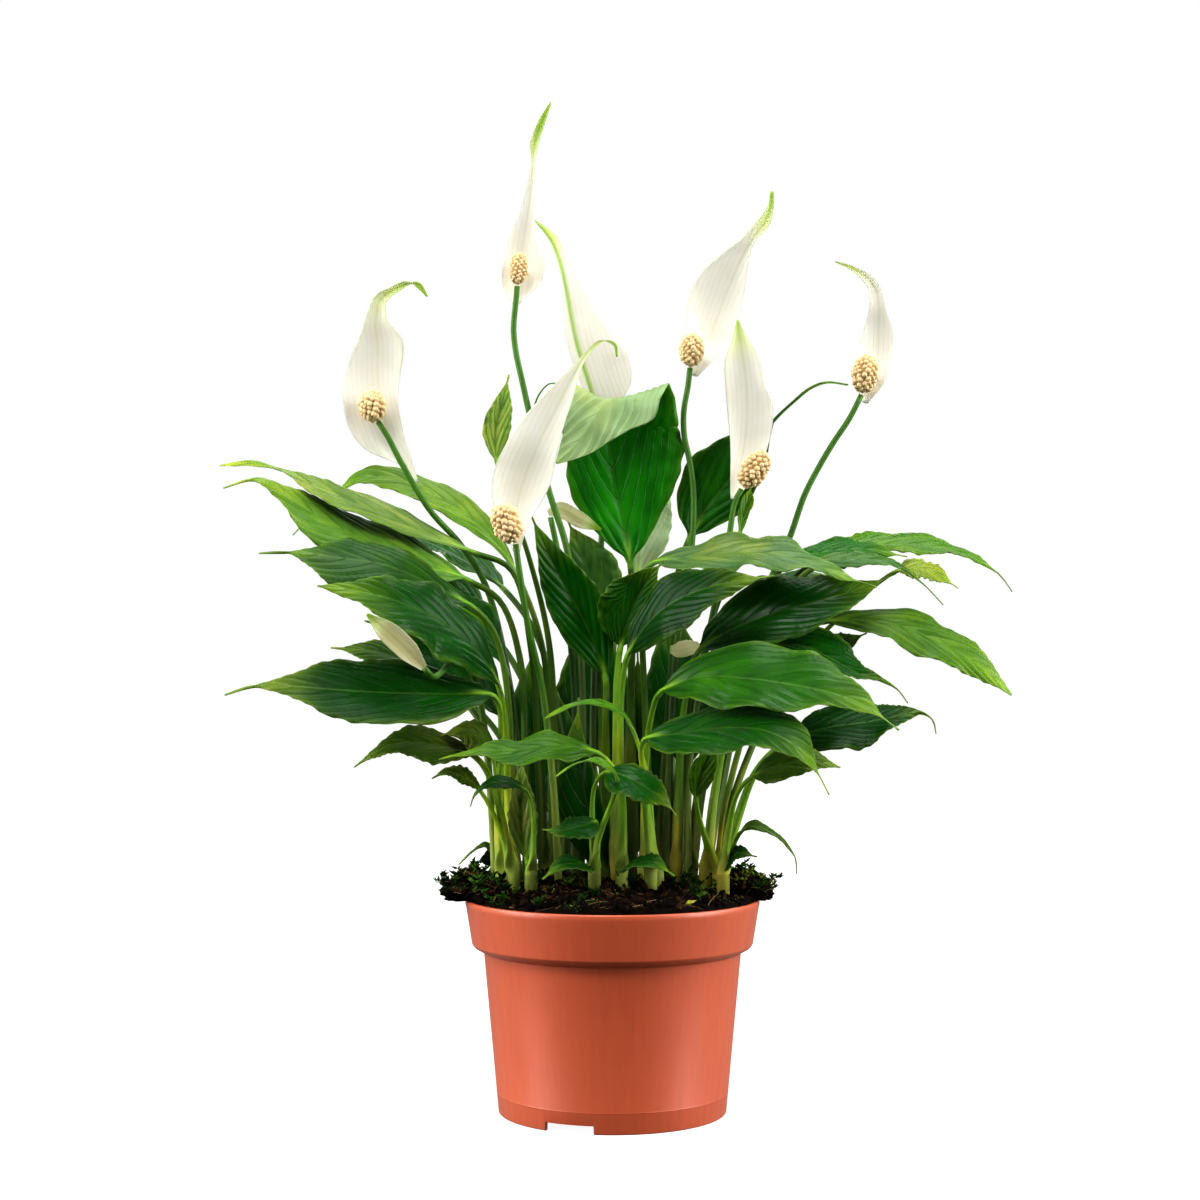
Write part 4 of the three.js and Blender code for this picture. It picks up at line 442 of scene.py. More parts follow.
# ---- blooms and buds: each a stem and a spathe, most with a spadix, told in the same way ----
BLOOMS = {
    "bloom_1": dict(
        foot=[-14, 4], left=[-1, -0.35, 0], right=[1, -0.35, 0],
        stem=[[-13, 6, 150], [-14, 8, 200], [-20, 9, 247], [-28, 10, 273], [-36.6, 10, 307],
            [-40.2, 10, 323], [-43, 10, 336], [-44, 10, 346], [-43, 10, 358], [-42.4, 10, 365]],
        rib=[[-43, 12.6, 357], [-42.5, 16, 364], [-41, 18.5, 374], [-39.5, 17, 386],
            [-37.6, 14, 398], [-36.2, 12, 410], [-35.3, 11, 421], [-34.6, 10.5, 429],
            [-31.5, 10, 438.5], [-27.5, 10, 447.5]],
        widths=[[1.6, 1.6], [7, 10], [8.5, 12.5], [7, 6.5], [4, 2.5], [2, 1.6], [0.8, 0.8],
            [2.2, 2], [1.7, 1.6], [0.4, 0.4]],
        spadix=dict(foot=[-42.3, 9.8, 365.5], top=[-41.2, 10, 380.5], radius=4.1),
    ),
    "bloom_2": dict(
        foot=[-10, 19], left=[1, 0.3, 0], right=[-0.25, 1, 0],
        stem=[[-9, 24, 150], [-8, 28, 200], [-6.5, 31, 228], [-4.5, 32, 258], [-3.5, 33, 285],
            [-1.5, 35, 300], [0, 37, 309]],
        rib=[[-2.3, 34, 303], [-7.5, 29.5, 313], [-12.5, 28, 328], [-16, 28, 340], [-18.5, 30, 352],
            [-21, 32, 366], [-24, 34, 378], [-28, 36, 387], [-34.5, 38, 394.5]],
        widths=[[5, 4], [18, 12], [22.5, 14], [18.5, 14], [12.5, 12], [6.5, 8], [4, 5], [3.4, 3],
            [0.4, 0.4]],
        spadix=dict(foot=[0.2, 37.4, 309.6], top=[-1, 41, 327], radius=4.8),
    ),
    "bloom_3": dict(
        foot=[-37, 18], left=[-1, -0.35, 0.05], right=[1, -0.3, 0.05],
        stem=[[-40, 22, 140], [-46, 28, 190], [-56, 24.5, 231], [-67.6, 14, 250], [-81, 6, 265],
            [-94.3, 4, 287], [-100, 3.4, 298], [-104.3, 3, 304.5]],
        rib=[[-87.4, 6.9, 277], [-92, 9.6, 286], [-99, 11.5, 298], [-103, 12, 312],
            [-104.5, 13, 326], [-104.5, 12, 338], [-105.5, 10, 350], [-103, 9, 359],
            [-97, 8, 363.5], [-91, 8, 366], [-86.5, 8, 365.5], [-82.5, 8, 360.5]],
        widths=[[1.4, 1.4], [3, 3.4], [14.5, 7], [17.5, 8.5], [14.5, 11], [10.5, 12.5], [4.5, 6],
            [3.4, 3], [2.2, 2], [2, 2], [1.5, 1.5], [0.4, 0.4]],
        spadix=dict(foot=[-104.6, 2.8, 305], top=[-109, 1, 318.5], radius=5.8),
    ),
    "bloom_4": dict(
        foot=[23, 7], left=[-1, -0.4, 0.3], right=[1, -0.35, -0.3],
        stem=[[25, 10, 150], [28, 13, 200], [33, 14, 235], [35.5, 14, 252], [36, 14, 274],
            [34.4, 14, 287], [32, 14, 298], [31.8, 14, 309.5], [33.6, 14, 320], [34.6, 14, 328.5]],
        rib=[[36.5, 16.8, 325], [39.5, 22, 334], [44, 25.5, 344], [48.5, 25, 356], [53, 22, 367],
            [57.5, 19, 377], [62.5, 16, 386], [68, 15, 393.5], [70.5, 15, 400], [71.3, 15, 407.5]],
        widths=[[1.6, 1.6], [8.5, 7], [14, 10], [16.5, 9.5], [15, 7], [9, 3.6], [4, 1.6],
            [3.5, 2.4], [1.5, 1.5], [0.9, 0.9]],
        spadix=dict(foot=[34.7, 13, 329], top=[35.8, 10.5, 344.5], radius=5.3),
    ),
    "bloom_5": dict(
        foot=[-24, -13], left=[-1, -0.4, 0], right=[1, -0.35, 0],
        stem=[[-26, -20, 140], [-31, -30, 185], [-37, -38, 212], [-41, -42, 236], [-43, -44, 250]],
        rib=[[-42.5, -41.6, 246.5], [-42.5, -35, 256], [-42, -32, 268], [-38.5, -32, 281],
            [-33, -34, 294], [-27, -34, 306], [-21, -34, 318], [-17, -34, 326], [-12, -34, 334],
            [-5, -34, 340.5], [1, -34, 339], [2, -34, 333.5]],
        widths=[[1.5, 1.5], [6, 4.5], [12, 10], [14.5, 12], [13, 9.5], [10, 6.5], [6, 4.5],
            [3, 2.5], [1.1, 1.1], [0.9, 0.9], [0.8, 0.8], [0.4, 0.4]],
        spadix=dict(foot=[-43.6, -44.6, 250.6], top=[-50.5, -47, 268], radius=6),
    ),
    "bloom_6": dict(
        foot=[33.5, -4.5], left=[-1, -0.35, 0], right=[1, -0.35, 0],
        stem=[[34, -3, 150], [41, -1, 200], [48, 2, 235], [52, 3, 254], [54.5, 3, 269],
            [57.5, 2.6, 274.5]],
        rib=[[53.9, 5.2, 270], [56, 11, 281], [59, 14, 296], [60, 13, 309], [59.5, 11, 322],
            [58, 9, 334], [56.5, 8, 343], [55.8, 8, 350]],
        widths=[[1.5, 1.5], [4, 8], [7.5, 11], [9.5, 12], [10, 8.5], [8.5, 6.5], [3, 3],
            [0.5, 0.5]],
        spadix=dict(foot=[58, 2.2, 275.2], top=[68.5, -2, 291.5], radius=5.6),
    ),
    "bloom_7": dict(
        foot=[43, 19], left=[-1, -0.35, 0], right=[1, -0.35, 0],
        stem=[[46, 23, 140], [54, 30, 190], [66, 35, 225], [78.4, 36, 252], [85.5, 36, 272],
            [92.2, 36, 285], [98.8, 36, 296], [105.5, 36, 306], [110.8, 36, 316.4]],
        rib=[[112.5, 38.6, 313], [116, 44.5, 324], [118, 47, 335], [118.5, 45, 346],
            [118.5, 41, 356], [117, 40, 364], [112.5, 39, 369.5], [106, 38, 373.5],
            [99.3, 38, 376]],
        widths=[[1.6, 1.6], [11.5, 6.5], [10.5, 7], [7.5, 6.5], [4.5, 3.4], [3.2, 2.8], [2.4, 2.2],
            [1.3, 1.3], [0.4, 0.4]],
        spadix=dict(foot=[111, 35.6, 317], top=[114.2, 34, 335], radius=5.8),
    ),
    # the spent one behind the front bloom
    "bloom_8": dict(
        foot=[-17, 14], left=[0.3, -0.3, 0.9], right=[-0.3, 0.2, -0.9],
        stem=[[-16, 16, 150], [-18, 18, 200], [-23, 15, 240], [-27.5, 13.5, 262]],
        rib=[[-28.5, 13.5, 263.8], [-23, 13.5, 266], [-15, 12.5, 262], [-5, 11, 256.5]],
        widths=[[1.4, 1.4], [3, 4.5], [3, 4.5], [0.5, 0.5]],
    ),
    # closed buds
    "bud_left": dict(
        foot=[-52, -9], left=[-0.7, -0.3, -0.7], right=[0.7, -0.3, 0.7],
        stem=[[-54, -11, 140], [-57, -15, 170], [-61, -20, 190], [-69, -34, 201], [-75, -50, 194],
            [-79.5, -63, 191], [-83, -71, 194.5]],
        rib=[[-83.6, -71.9, 195.1], [-92, -76, 204], [-100, -78, 211.5], [-109, -80, 219]],
        widths=[[1.6, 1.6], [4.6, 4.6], [4.4, 4.4], [0.6, 0.6]],
    ),
    "bud_small": dict(
        foot=[29.5, 8], left=[0, -0.8, -0.8], right=[0, 0.3, 1],
        stem=[[32, 9, 150], [38, 7, 190], [42, 4, 202], [39.5, 0, 205.5]],
        rib=[[38.6, -0.9, 205.2], [33.5, -4, 203.5], [29, -5, 202.5], [25.5, -5.5, 203]],
        widths=[[1.5, 1.5], [3.8, 4.2], [4, 4], [2, 2]],
    ),
}


# ---- measures of the plant ----
# lengths in millimetres, the rest in shares, counts or exponents
FOOT = {"buried": 88, "collar": 104}
STALK = {
    "foot": 2.8, "top": 1.4, "pitch": 4.0, "taper": 0.8, "groove": 0.35,
    "turned": 12, "sheath_end": 0.55, "sheath_rise": 8,
}
STEM = {"foot": 1.7, "top": 1.25, "pitch": 4.0, "sides": 14}
# uneven: how often a margin swings along the blade, and how far
BLADE = {
    "thick": 0.5, "edge": 0.24, "ridge": 0.9, "cup": -0.14, "peak": 0.42, "full": 1.12,
    "swell": 0.85, "point": 1.2, "tail": 0.06, "tip": 0.45, "wave": [0.5, 2], "rows": 110,
    "columns": 33, "girth": 1.0, "join": 0.07, "frill": 0.3, "frills": (7, 10), "narrow": 6,
    "uneven": ((31, 0.022), (67, 0.014)),
}
SMALL = {"rows": 52, "columns": 17, "girth": 0.72}
QUILT = {
    "veins": 8, "small_veins": 5, "height": 0.85, "lean": 3.4, "channel": 0.45,
    "channel_width": 1.3, "soft": 0.06, "start": 2,
}
# the keel under a rib, and how far from it the two halves meet in one curve
KEEL = {"width": 1.1, "turned": 2.5}
# how a leaf's colour changes: shares of the colour, and where along or across the blade
LEAF_TINT = {
    "tone": (0.62, 0.78), "tip_from": 0.6, "tip": 0.5, "margin": 0.25, "margin_edge": 11,
    "under": 0.7, "neck": 0.16, "rib": 1.4, "rise": 1.6,
}
# painted shade that darkens stalks and stems deep in the clump: depth at which it begins and how
# much deeper it is full; height above which a stem comes clear of it, and over how much
SHADE = {"from": -14, "over": 18, "clear": 180, "clear_over": 60}
SPATHE = {
    "thick": 0.5, "edge": 0.22, "ridge": 0.35, "cup": 0.28, "ripple": 0.05, "ripples": 8.5,
    "rows": 84, "columns": 25, "least": 0.35, "pleat": 0.12, "pleats": 5, "narrow": 8,
    "vein_gap": 2.4,
}
SPATHE_TINT = {
    "fade": (0.12, 0.3), "cream": 1.5, "tip": 0.22, "edge": 0.5, "edge_from": 0.4, "margin": 8,
    "rib_over": 0.25, "rib_under": 0.6,
}
SPADIX = {
    "blunt": 0.75, "knobs": 88, "knob": 1.3, "seat": 0.84, "full_radius": 5.8, "core": 0.86,
    "core_tall": 0.93, "stray": 0.35, "turn": 0.12, "sizes": (0.8, 1.15), "tall": (0.9, 1.35),
    "shades": (0.9, 1.05),
}
# what the leaf's material reads on a stalk: clear of the rib, between two veins
STALK_INFO = (2.0, 0.5, 0)
ACROSS = np.array([1.0, 0, 0])
UP = np.array([0, 0, 1.0])
# the colour of leaves that differ from their tone, in the order of a shoot's leaves; some are
# lighter than their own colour, painted light for the shade that falls on them
OWN_TONES = {
    "leaf_left_1": ["86a850"],
    # painted light: lighter for the shadow that leaf_left_1 casts on it
    "leaf_left_2": ["6fa23a"],
    "shoot_left_3": ["6c9a2c", "88ac48"],
    "leaf_left_4": ["205c04"],
    "leaf_left_7": ["064c02"],
    "shoot_left_9": ["86a84c", None],
    "shoot_front_1": ["427a0a", None],
    # painted light: lighter for the shade of its own folded tip
    "leaf_centre_1": ["1a8c08"],
    "shoot_centre_2": ["1c6804", "074a02"],
    # painted light: the first leaf is lighter for the shade it stands in
    "shoot_centre_3": ["0e6c04", None, None],
    "leaf_right_1": ["1e6c08", None],
    "leaf_right_2": ["5e864c"],
    "leaf_right_4": ["608e2d"],
    "shoot_right_5": ["5c961e", None],
    "shoot_right_7": ["9cb43c", None],
    "leaf_right_8": ["266608"],
    "leaf_right_9": ["105203"],
}
# where along a spathe its green tip begins, how green its rib is, and what dims its white; dim is
# mostly painted light and shade: it darkens spathes that catch much light and lightens a bud in
# shade
SPATHE_LOOKS = {
    "bloom_1": dict(green=0.68, rib=0.5),
    # painted shade: dimmed because it faces up into the light
    "bloom_2": dict(green=0.82, rib=1.0, dim=0.86, rib_foot=1.3, rib_width=1.2),
    # painted shade: dimmed because it catches more light than the others
    "bloom_3": dict(green=0.74, rib=0.5, dim=0.9),
    "bloom_4": dict(green=0.78, rib=0.5),
    "bloom_5": dict(green=0.78, rib=0.6),
    "bloom_6": dict(green=0.84, rib=0.5),
    "bloom_7": dict(green=0.82, rib=0.5),
    "bloom_8": dict(green=0.7, rib=0.6, faded=True),
    "bud_left": dict(green=0.75, rib=0.8, faded=True, dim=0.78),
    # painted light: lightened because it stands in shade
    "bud_small": dict(green=0.9, rib=0.6, faded=True, dim=1.2),
}


def place(point):
    """A point of the tables, in millimetres of the frame."""
    across, depth, up = point
    spread = 1 + depth / EYE["away"]
    return np.array([
        EYE["across"] + (across - EYE["across"]) * spread,
        depth,
        EYE["up"] + (up - EYE["up"]) * spread,
    ])


def unit(vectors):
    """The vectors, each with a length of one."""
    length = np.linalg.norm(vectors, axis=-1, keepdims=True)
    return vectors / np.maximum(length, 1e-9)


def smooth(t):
    """A soft step from none at nought to all at one."""
    t = np.clip(t, 0, 1)
    return t * t * (3 - 2 * t)


def colour(code):
    """Linear colour of a web colour code."""
    parts = [int(code[k:k + 2], 16) / 255 for k in (0, 2, 4)]
    return [p / 12.92 if p < 0.04045 else ((p + 0.055) / 1.055) ** 2.4 for p in parts]


class Path:
    """A smooth curve through the given points, followed by its length."""

    steps = 24

    def __init__(self, given):
        points = np.array([place(p) for p in given])
        ends = [2 * points[0] - points[1], 2 * points[-1] - points[-2]]
        self.knots = np.vstack([ends[0], points, ends[1]])
        self.spans = len(points) - 1
        self.table = np.linspace(0, self.spans, self.steps * self.spans + 1)
        laid = self.point(self.table)
        reach = np.linalg.norm(np.diff(laid, axis=0), axis=1)
        self.lengths = np.concatenate([[0], np.cumsum(reach)])
        self.length = self.lengths[-1]
        self.shares = self.lengths[::self.steps] / self.length

    def point(self, t):
        """Points of the curve at t, which grows by one from knot to knot."""
        span = np.clip(np.floor(t).astype(int), 0, self.spans - 1)
        part = (t - span)[:, None]
        x0, x1, x2, x3 = (self.knots[span + k] for k in range(4))
        d0, d1, d2 = (
            np.maximum(np.sum((b - a) ** 2, axis=1), 1e-8)[:, None] ** 0.25
            for a, b in ((x0, x1), (x1, x2), (x2, x3))
        )
        leave = ((x1 - x0) / d0 - (x2 - x0) / (d0 + d1) + (x2 - x1) / d1) * d1
        arrive = ((x2 - x1) / d1 - (x3 - x1) / (d1 + d2) + (x3 - x2) / d2) * d1
        square = -3 * x1 + 3 * x2 - 2 * leave - arrive
        cube = 2 * x1 - 2 * x2 + leave + arrive
        return x1 + leave * part + square * part ** 2 + cube * part ** 3

    def at(self, shares):
        """Points and runs at the given shares of the length."""
        t = np.interp(np.asarray(shares) * self.length, self.lengths, self.table)
        near = 1e-3
        ahead = self.point(np.clip(t + near, 0, self.spans))
        behind = self.point(np.clip(t - near, 0, self.spans))
        return self.point(t), unit(ahead - behind)


def squared(run, way):
    """The direction of way, square to the run."""
    return unit(way - np.sum(way * run, axis=-1, keepdims=True) * run)


def through(shares, values, t):
    """A soft curve through the values given at the shares."""
    shares, values = np.asarray(shares, float), np.asarray(values, float)
    slope = np.gradient(values, shares)
    rise_before = np.sign(np.diff(values, prepend=values[0]))
    rise_after = np.sign(np.diff(values, append=values[-1]))
    flat = rise_before != rise_after
    slope[1:-1][flat[1:-1]] = 0
    k = np.clip(np.searchsorted(shares, t, side="right") - 1, 0, len(shares) - 2)
    gap = shares[k + 1] - shares[k]
    p = np.clip((t - shares[k]) / gap, 0, 1)
    leave = (2 * p ** 3 - 3 * p ** 2 + 1) * values[k] + (p ** 3 - 2 * p ** 2 + p) * gap * slope[k]
    return (
        leave + (3 * p ** 2 - 2 * p ** 3) * values[k + 1] + (p ** 3 - p ** 2) * gap * slope[k + 1]
    )


def leaf_outline(t, peak):
    """Width of a leaf along its blade, one at the peak."""
    before = np.sin(np.pi / 2 * np.clip(t / peak, 0, 1)) ** BLADE["swell"]
    falling = np.cos(np.pi / 2 * np.clip((t - peak) / (1 - peak), 0, 1))
    after = np.clip(falling, 0, 1) ** BLADE["point"]
    return np.where(t < peak, before, after)


# ---- meshes ----
class Form:
    """Points, faces and point attributes of a mesh that is made piece by piece.

    The attribute tint is a colour. The attribute blade holds the way from the rib in millimetres,
    the count of veins and 1 on the underside.
    """

    def __init__(self):
        self.points, self.faces, self.tint, self.blade = [], [], [], []
        self.count = 0

    def add(self, points, faces, tint, blade=None):
        faces = np.asarray(faces)
        self.points.append(points)
        self.faces += (faces + self.count).tolist()
        self.tint.append(np.broadcast_to(tint, (len(points), 3)))
        self.blade.append(np.zeros((len(points), 3)) if blade is None else blade)
        self.count += len(points)

    def piece(self, name, slot, material, *nodes):
        """The mesh as a piece that rides on the frame and stands for the nodes."""
        mesh = bpy.data.meshes.new(name)
        mesh.from_pydata((np.vstack(self.points) * MM).tolist(), [], self.faces)
        tint = mesh.attributes.new("tint", "FLOAT_COLOR", "POINT")
        rgba = np.ones((self.count, 4), np.float32)
        rgba[:, :3] = np.vstack(self.tint)
        tint.data.foreach_set("color", rgba.ravel())
        blade = mesh.attributes.new("blade", "FLOAT_VECTOR", "POINT")
        blade.data.foreach_set("vector", np.vstack(self.blade).astype(np.float32).ravel())
        mesh.materials.append(material)
        mesh.shade_smooth()
        piece = bpy.data.objects.new(name, mesh)
        bpy.context.scene.collection.objects.link(piece)
        return settle(piece, slot, *nodes)


def settle(piece, slot, *nodes):
    """Seats the piece on the frame, in place of the nodes. The slot is not used."""
    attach(piece, BODY)
    if nodes:
        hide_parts(*nodes)
    return piece


def loft(rings):
    """Triangles of a skin over rings of points, shape (rows, around, 3), closed at both ends.

    A ring runs over the top and back under it; both are split along the same diagonals.
    """
    rows, around = rings.shape[:2]
    half = around // 2
    k = np.arange(around)
    following = (k + 1) % around
    faces = []
    for row in range(rows - 1):
        low, high = row * around, (row + 1) * around
        over = k < half
        first = [low + k, low + following, high + np.where(over, following, k)]
        second = [np.where(over, low + k, low + following), high + following, high + k]
        faces += [np.stack(first, axis=1), np.stack(second, axis=1)]
    j = np.arange(half - 1)
    cap = np.vstack([
        np.stack([j, around - 1 - j, around - 2 - j], axis=1),
        np.stack([j, around - 2 - j, j + 1], axis=1),
    ])
    last = (rows - 1) * around
    faces = np.vstack([*faces, cap, last + cap[:, ::-1]])
    points = rings.reshape(-1, 3)
    a, b, c = (points[faces[:, i]] for i in range(3))
    volume = np.sum(np.cross(b - a, c - a) * a)
    return points, faces if volume > 0 else faces[:, ::-1]


def round_rings(centres, runs, side, radii, columns, groove=0.0, wings=None):
    """Round sections with their points in the order of a blade's, left to right over and under."""
    across = squared(runs, np.broadcast_to(side, runs.shape))
    face = np.cross(across, runs)
    step = np.pi / columns
    over = np.pi - step / 2 - step * np.arange(columns)
    angles = np.concatenate([over, -over[::-1]])
    x, y = np.cos(angles), np.sin(angles)
    y = np.where(y > 0, y * (1 - groove * y ** 2), y)
    radii = np.asarray(radii)[:, None]
    spread = 1.0 if wings is None else 1 + np.asarray(wings)[:, None] * np.abs(x) ** 5
    return (
        centres[:, None] + across[:, None] * (radii * x * spread)[..., None]
        + face[:, None] * (radii * y)[..., None]
    )


def blade_rings(centre, run, ways, reach, rise, thick, ridge, columns):
    """Sections of a blade. rise(out, side) lifts its middle; ridge is its keel under the rib."""
    to_left, to_right = (squared(run, way) for way in ways)
    face_left, face_right = np.cross(run, to_left), np.cross(to_right, run)
    face_rib = unit(face_left + face_right)
    s = np.linspace(-1, 1, columns)
    top, bottom = [], []
    for value in s:
        side = 0 if value < 0 else 1
        way, face = ((to_left, face_left), (to_right, face_right))[side]
        out = abs(value)
        far = (out * reach[side])[:, None]
        outward = unit(face_rib + (face - face_rib) * np.clip(far / KEEL["turned"], 0, 1))
        middle = centre + way * far + face * rise(out, side)[:, None]
        thin = thick[0] + (thick[1] - thick[0]) * out
        keel = ridge[:, None] * np.exp(-(far / KEEL["width"]) ** 2)
        top.append(middle + outward * thin / 2)
        bottom.append(middle - outward * (thin / 2 + keel))
    return np.stack(top + bottom[::-1], axis=1), s


def stalk_rings(leaf, path, blade_at, way, girth, columns, finish):
    """Sections of a leaf's stalk, from its buried foot to its blade."""
    rings, foot = [], leaf.get("foot")
    if foot:
        ends = np.array([place([*foot, FOOT["buried"]]), place([*foot, FOOT["collar"]])])
        upright = np.array([UP] * 2)
        rings.append(round_rings(ends, upright, ACROSS, [STALK["foot"]] * 2, columns))
    steps = max(1, round(blade_at * path.length / STALK["pitch"])) if blade_at > 0 else 0
    if steps > 1:
        k = np.arange(1, steps) / steps
        centre, run = path.at(blade_at * k)
        thinner = (STALK["top"] - STALK["foot"]) * smooth(k) ** STALK["taper"]
        radii = girth * (STALK["foot"] + thinner)
        lead = np.clip(k * blade_at * path.length / STALK["turned"], 0, 1)[:, None]
        side = unit(ACROSS * (1 - lead) + unit(way) * lead)
        wings = finish.sheath * np.clip(1 - k / STALK["sheath_end"], 0, 1)
        wings = wings * np.clip(k * STALK["sheath_rise"], 0, 1)
        rings.append(round_rings(centre, run, side, radii, columns, STALK["groove"], wings))
    return rings


def blade_reach(leaf, shares, ways, t, girth, draw):
    """How far the blade reaches to its left and right margins, which are never quite even."""
    if "widths" in leaf:
        reach = [through(shares, [w[i] for w in leaf["widths"]], t) for i in range(2)]
    else:
        long = max(1e-6, 1 - leaf.get("tail", BLADE["tail"]))
        wide = BLADE["full"] * leaf_outline(t / long, leaf.get("peak", BLADE["peak"]))
        reach = [wide * np.linalg.norm(way, axis=1) for way in ways]
    starts = [draw.uniform(0, 2 * np.pi) for _ in range(4)]
    (slow, wide_swing), (fast, short_swing) = BLADE["uneven"]
    reach = [
        r * (1 + wide_swing * np.sin(slow * t + first) + short_swing * np.sin(fast * t + second))
        for r, first, second in zip(reach, starts[:2], starts[2:])
    ]
    narrow = girth * STALK["top"] + (BLADE["tip"] - girth * STALK["top"]) * t
    return [np.maximum(narrow, r) for r in reach]


def quilted(leaf, t, reach, length, draw):
    """Two functions of a blade: its count of veins, and how far its middle is lifted."""
    widest = max(reach[0].max(), reach[1].max())
    lean = QUILT["lean"] * widest / length
    veins = QUILT["small_veins" if leaf.get("small") else "veins"]
    wave_height, waves = leaf.get("wave", BLADE["wave"])
    fade = np.sin(np.pi * t)
    edge_waves = draw.uniform(*BLADE["frills"])

    def phase(out, side):
        bent = lean * reach[side] / widest * (0.4 * out + 0.6 * out ** 2)
        return veins * (t - bent) + QUILT["start"]

    def rise(out, side):
        swing = 2 * np.pi * waves * t + 2 * side
        wave = wave_height * fade * np.sin(swing)
        frill = BLADE["frill"] * fade * np.sin(2 * np.pi * edge_waves * t + side) * out ** 4
        swell = np.sqrt(np.sin(np.pi * phase(out, side)) ** 2 + QUILT["soft"]) - 0.5
        quilt = QUILT["height"] * swell * min(1, 3 * out * (1.25 - out))
        channel = -QUILT["channel"] * np.exp(-(out * reach[side] / QUILT["channel_width"]) ** 2)
        wide = np.clip(reach[side] / BLADE["narrow"], 0, 1)
        body = BLADE["cup"] * reach[side] * (out ** 2 - out) + wave * out ** 2
        return body + wide * (quilt + frill + channel * (1 - t))

    return phase, rise


def deep_shade(depth, finish):
    """How much painted shade darkens a stalk that stands this deep in the clump."""
    return finish.inner_shade * smooth((depth - SHADE["from"]) / SHADE["over"])


def blended(tint, colour_to, share):
    """The tint, moved towards the colour by the share."""
    return tint + (np.array(colour_to) - tint) * share


def leaf_tint(leaf, tone, t, both, info, stalk_rows, finish):
    """Colours of a leaf: its tone, greener tip and margin, pale underside, stalk and neck; a stalk
    deep in the clump gets painted shade.
    """
    under = info[0, :, 2][None, :, None]
    blade = np.empty((len(t), len(both), 3))
    blade[:] = tone
    tip = smooth((t - LEAF_TINT["tip_from"]) / (1 - LEAF_TINT["tip_from"]))[:, None, None]
    blade = blended(blade, finish.tip, tip * LEAF_TINT["tip"])
    margin = (np.abs(both) ** LEAF_TINT["margin_edge"] * LEAF_TINT["margin"])[None, :, None]
    blade = blended(blade, finish.tip, margin)
    blade = blended(blade, finish.under, LEAF_TINT["under"] * under)
    neck = (1 - smooth(t / LEAF_TINT["neck"]))[:, None, None]
    near_rib = np.exp(-(info[stalk_rows:, :, 0] / LEAF_TINT["rib"]) ** 2)[..., None]
    blade = blended(blade, finish.stalk, neck * near_rib)
    up = np.linspace(0, 1, stalk_rows)[:, None, None] * np.ones((1, len(both), 1))
    stalk = blended(np.array(finish.stalk_foot), finish.stalk, smooth(up * LEAF_TINT["rise"]))
    depth = leaf.get("foot", leaf["rib"][0])[1]
    # painted shade: a stalk deep in the clump is darkened towards the shaded colour
    return np.vstack([blended(stalk, finish.shaded, deep_shade(depth, finish)), blade])


def leaf_form(form, leaf, finish, draw, own=None):
    """One leaf: its stalk and its blade in one skin."""
    fine = SMALL if leaf.get("small") else BLADE
    rows, columns, girth = fine["rows"], fine["columns"], fine["girth"]
    stalk = [[*leaf["foot"], FOOT["collar"]]] if "foot" in leaf else []
    stalk += leaf.get("stalk", [])
    path = Path([*stalk, *leaf["rib"]])
    blade_at = path.shares[len(stalk)]
    left, right = np.array(leaf["left"], float), np.array(leaf["right"], float)
    rings = stalk_rings(leaf, path, blade_at, right, girth, columns, finish)
    stalk_rows = sum(len(r) for r in rings)
    t = np.linspace(0, 1, rows + 1)
    centre, run = path.at(np.minimum(1, blade_at + (1 - blade_at) * t))
    turn_from = leaf.get("turn_from", 0)
    turn = smooth((t - turn_from) / (1 - turn_from))[:, None]
    tip_left = np.array(leaf.get("tip_left", left), float)
    tip_right = np.array(leaf.get("tip_right", right), float)
    ways = [left + (tip_left - left) * turn, right + (tip_right - right) * turn]
    shares = (path.shares[len(stalk):] - blade_at) / (1 - blade_at)
    reach = blade_reach(leaf, shares, ways, t, girth, draw)
    phase, rise = quilted(leaf, t, reach, (1 - blade_at) * path.length, draw)
    ridge = girth * BLADE["ridge"] * (1 - t)
    thick = (BLADE["thick"], BLADE["edge"])
    blade, s = blade_rings(centre, run, ways, reach, rise, thick, ridge, columns)
    neck = girth * STALK["top"] * np.ones(rows + 1)
    tube = round_rings(centre, run, unit(ways[1]), neck, columns, STALK["groove"])
    join = smooth(t / BLADE["join"])[:, None, None]
    rings = np.vstack([*rings, tube + (blade - tube) * join])
    both = np.concatenate([s, s[::-1]])
    info = np.zeros((len(rings), 2 * columns, 3))
    info[:stalk_rows] = STALK_INFO
    info[stalk_rows:, :, 0] = np.abs(both) * np.stack(reach, axis=1)[:, (both >= 0).astype(int)]
    info[stalk_rows:, :, 1] = np.stack([phase(abs(v), int(v >= 0)) for v in both], axis=1)
    info[:, columns:, 2] = 1
    tone = np.array(colour(own) if own else finish.tones[leaf["tone"]])
    tone = tone * draw.uniform(*LEAF_TINT["tone"])
    tint = leaf_tint(leaf, tone, t, both, info, stalk_rows, finish)
    points, faces = loft(rings)
    form.add(points, faces, tint.reshape(-1, 3), info.reshape(-1, 3))


